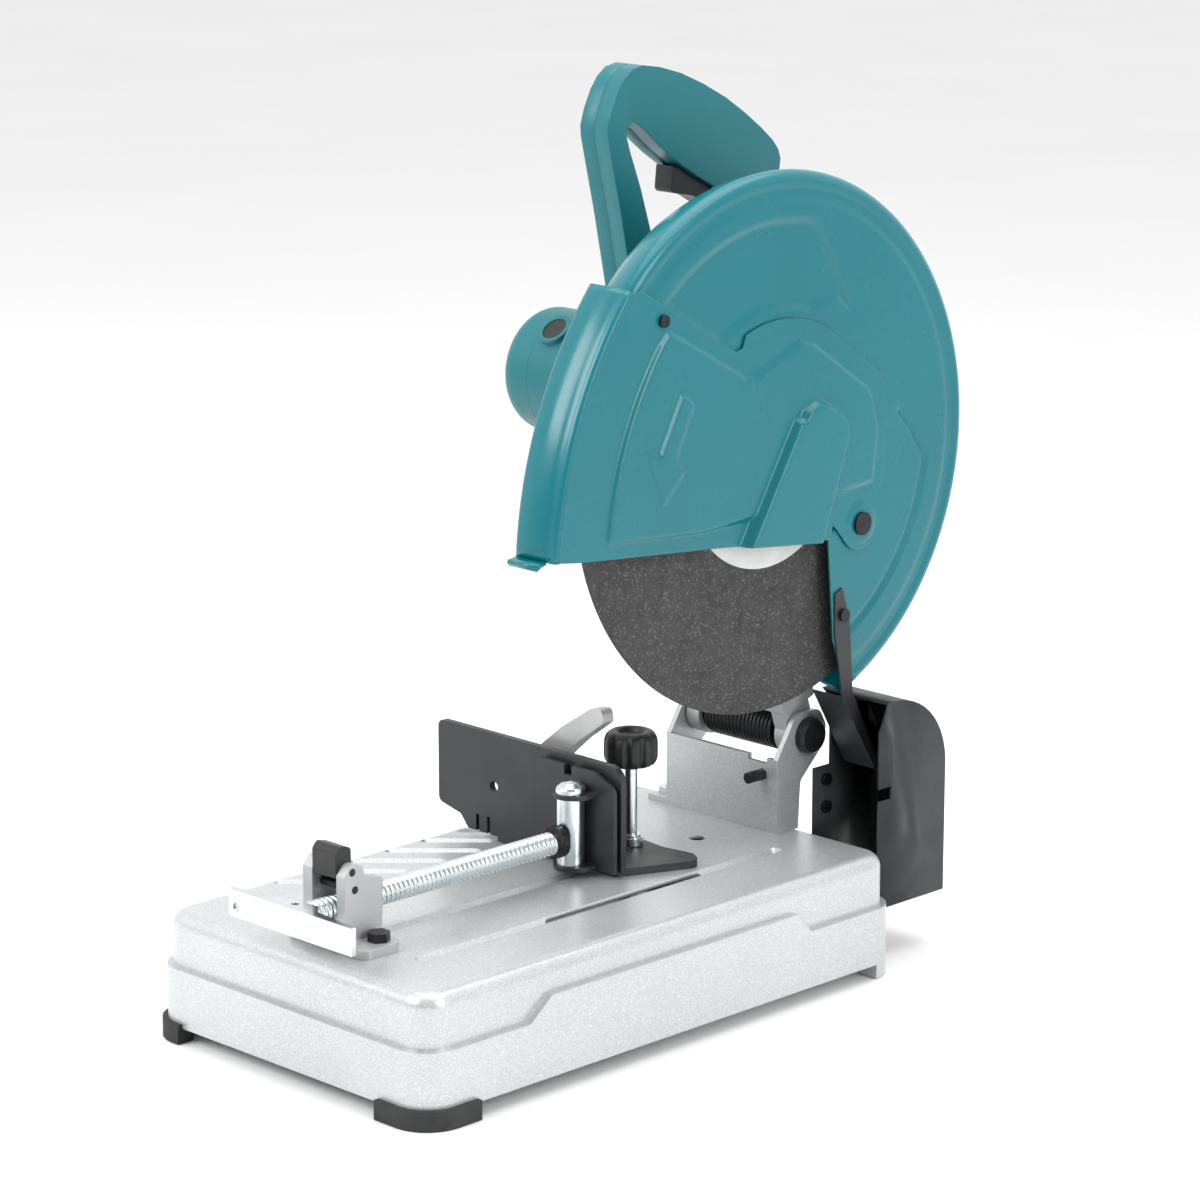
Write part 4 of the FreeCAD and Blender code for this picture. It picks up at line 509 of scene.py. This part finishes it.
# %% Clamp knob
knob = bmesh.new()
centre = (2.0, 33.0)
low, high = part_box("clamp_knob")
foot, top = low.z / MM, high.z / MM
knob_line = [(0, foot + 2), (8, foot + 2), (9, foot), (13.5, foot + 0.2), (16.2, foot + 1.4),
             (17.6, foot + 3.4), (18.4, foot + 6), (18.5, foot + 9), (18.5, top - 9), (18.2, top - 6),
             (17.2, top - 3), (14.8, top - 0.8), (11.5, top), (9.4, top - 0.7),
             (8.4, top - 2.6), (7.6, top - 3.8), (0, top - 4.2)]
spun(knob, [(centre[0] + r, centre[1], z) for r, z in knob_line], (*centre, 0), (0, 0, 1), 360, 120)
bmesh.ops.remove_doubles(knob, verts=knob.verts, dist=1e-6)
for vert in knob.verts:
    side, back, up = vert.co.x / MM - centre[0], vert.co.y / MM - centre[1], vert.co.z / MM
    radius = math.hypot(side, back)
    if radius > 12:
        lobe = math.cos(10 * math.atan2(back, side))
        valley = max(0.0, -lobe) ** 0.8 * min(1.0, (radius - 12) / 4) * min(1.0, max(0.0, (top + 0.5 - up) / 8))
        factor = 1 - 2.6 * valley / radius
        vert.co.x = (centre[0] + side * factor) * MM
        vert.co.y = (centre[1] + back * factor) * MM
piece("lobed_knob", knob, "knob", ["clamp_knob"], "black_plastic")

# %% [markdown]
# ## The spark guard
# A folded black sheet box, open towards the wheel and underneath. The roof and back are one strip that is
# extruded across; each side is a flat sheet cut to the same outline.

# %% Spark guard
low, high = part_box("spark_guard")
front, back, bottom, roof = low.y / MM, high.y / MM, low.z / MM, high.z / MM
BEND, WALL = 54, 1.6


def bend(inset):
    """The roof's run, round the bend and down the back."""
    ends = [(front + 9, roof - inset)] + arc((back - BEND, roof - BEND), BEND - inset, 90, 0, 14)
    return ends + [(back - inset, bottom)]


def sheet(box_mesh, points, left, right):
    """A flat outline, extruded from left to right."""
    verts = [box_mesh.verts.new(Vector((left, y, z)) * MM) for y, z in points]
    face = box_mesh.faces.new(verts)
    swept = bmesh.ops.extrude_face_region(box_mesh, geom=[face])["geom"]
    moved = [g for g in swept if isinstance(g, bmesh.types.BMVert)]
    bmesh.ops.translate(box_mesh, vec=((right - left) * MM, 0, 0), verts=moved)


left, right = low.x / MM, high.x / MM
notch = [(front, 125), (front + 13, 125), (front + 13, 116), (front, 116)]
side_sheet = bend(0) + [(front, bottom)]
hood = bmesh.new()
sheet(hood, side_sheet + notch[::-1] + [(front, roof - 20)], right - WALL, right)
window = [(front, 128), (front + 17, 128), (front + 17, roof - 9)]
sheet(hood, bend(0) + [(front, bottom)] + window, left, left + WALL)
sheet(hood, bend(0) + bend(WALL)[::-1], left + WALL, right - WALL)
piece("folded_spark_guard", hood, "frame", ["spark_guard"], "black_sheet")

# %% [markdown]
# ## The handle
# Two moulded shells meet on a flat seam. Each is the handle's outline filled, extruded to half the width
# and rounded all round its outer side; the seam's edge gets a fine chamfer, so that the joint line shows.

# %% Handle shells
MOTOR = (61.1, 405.8)
SEAM_X, HALF = -32.0, 13.0
OUTER = ([(-5.5, 50), (-6, 66), (-17, 118), (-29, 168), (-29.5, 176)]
         + [(-26, 187), (-20, 199), (-14, 207), (-6, 213), (4, 215)]
         + [(20, 212.5), (40, 207), (62, 198), (84, 187), (104, 174.5), (120, 163), (131, 154)]
         + [(137, 147), (139.5, 140)]
         + [(138, 131), (133, 122), (128, 112), (120, 88), (112, 64), (108.5, 40), (108, 28.4)]
         + [(90, 28.4), (60, 28.4), (32.5, 28.4)] + arc((0, 0), 43.2, 40, 96, 8))
INNER = [(34, 66), (24, 67), (21, 71), (20, 78), (13, 98), (2, 132), (-9, 160), (-12, 169), (-10, 175), (-5, 178),
         (6, 171), (18, 161), (30, 152), (44, 143), (60, 134), (74, 127), (86, 119), (92, 111), (94, 102), (91, 88),
         (89, 78), (86, 70), (80, 66), (58, 66)]


def shell(side):
    """One half of the handle, on the left (-1) or the right (1) of the seam."""
    half = bmesh.new()
    loops = []
    for line in (OUTER, INNER):
        verts = [half.verts.new(Vector((SEAM_X, MOTOR[0] + y, MOTOR[1] + z)) * MM) for y, z in line]
        loops += [half.edges.new(pair) for pair in zip(verts, verts[1:] + verts[:1])]
    bmesh.ops.triangle_fill(half, edges=loops, use_beauty=True)
    bmesh.ops.dissolve_limit(half, angle_limit=0.01, verts=half.verts, edges=half.edges)
    swept = bmesh.ops.extrude_face_region(half, geom=half.faces[:])["geom"]
    moved = [g for g in swept if isinstance(g, bmesh.types.BMVert)]
    bmesh.ops.translate(half, vec=(side * HALF * MM, 0, 0), verts=moved)
    bmesh.ops.recalc_face_normals(half, faces=half.faces)
    far = SEAM_X + side * HALF
    rims = [e for e in half.edges if all(abs(v.co.x / MM - far) < 0.01 for v in e.verts)
            and len(e.link_faces) == 2 and e.calc_face_angle(0) > 1.0]
    bmesh.ops.bevel(half, geom=rims, offset=8.0 * MM, affect="EDGES", segments=6, profile=0.5, material=-1,
                    clamp_overlap=True)
    seams = [e for e in half.edges if all(abs(v.co.x / MM - SEAM_X) < 0.01 for v in e.verts)
             and len(e.link_faces) == 2 and e.calc_face_angle(0) > 1.0]
    bmesh.ops.bevel(half, geom=seams, offset=0.5 * MM, affect="EDGES", segments=1, profile=0.5, material=-1,
                    clamp_overlap=True)
    return half


piece("handle_shell_left", shell(-1), "head", ["handle_left"], "teal_plastic")
piece("handle_shell_right", shell(1), "head", ["handle_right"], "teal_plastic")

# %% [markdown]
# ## The room
# A plain pale floor, a large soft key light from the left, a fill from the right and a light from above.

# %% Stage, lights and camera
bpy.ops.mesh.primitive_plane_add(size=12, location=(0, 0, -0.0005))
floor = bpy.context.object
floor.name = "pale_floor"
floor.data.materials.append(finish_of("matte_white_floor", "#F4F4F4", "#F2F2F2", rough=(0.7, 0.8), grain_mm=3,
                                      grain=0.001, blotch_mm=400, edge_mm=0.1))
world = bpy.context.scene.world or bpy.data.worlds.new("studio")
bpy.context.scene.world = world
world.use_nodes = True
# The studio is white ahead of the camera and overhead, and dim behind it, which gives paint its depth.
way = add(world.node_tree, "TexCoord").outputs["Generated"]
toward = {0: way, 1: (0.7, -0.7, -0.1)}
behind = add(world.node_tree, "VectorMath", toward, operation="DOT_PRODUCT").outputs["Value"]
dim = ranged(world.node_tree, behind, -0.2, 0.6, 1.12, 0.5)
world.node_tree.nodes["Background"].inputs[0].default_value = (1, 1, 1, 1)
world.node_tree.links.new(dim, world.node_tree.nodes["Background"].inputs[1])
bpy.context.scene.view_settings.view_transform = "Standard"


def lamp(name, place, target, size, power):
    data = bpy.data.lights.new(name, "AREA")
    data.shape = "RECTANGLE"
    data.size, data.size_y = size
    data.energy = power
    thing = bpy.data.objects.new(name, data)
    thing.location = place
    thing.rotation_euler = (Vector(target) - Vector(place)).to_track_quat("-Z", "Y").to_euler()
    bpy.context.scene.collection.objects.link(thing)


lamp("key_softbox", (-0.6, -1.9, 1.7), (0, 0, 0.3), (1.2, 1.2), 36)
lamp("side_strip", (2.2, 0.2, 1.1), (0.08, 0, 0.3), (0.6, 1.6), 22)
lamp("top_panel", (0.2, 0.3, 2.1), (0, 0, 0.2), (1.8, 1.8), 26)

camera_data = bpy.data.cameras.new("camera")
camera_data.sensor_width = 36.0
camera_data.lens = 123.06
camera = bpy.data.objects.new("camera", camera_data)
camera.location = (1.89477, -1.88489, 0.92299)
camera.rotation_euler = (math.radians(90 - 13.74), 0, math.radians(45.07))
bpy.context.scene.collection.objects.link(camera)
bpy.context.scene.camera = camera

# %% What was made, and the sizes
for name, faces in made:
    print(name, faces, "faces")
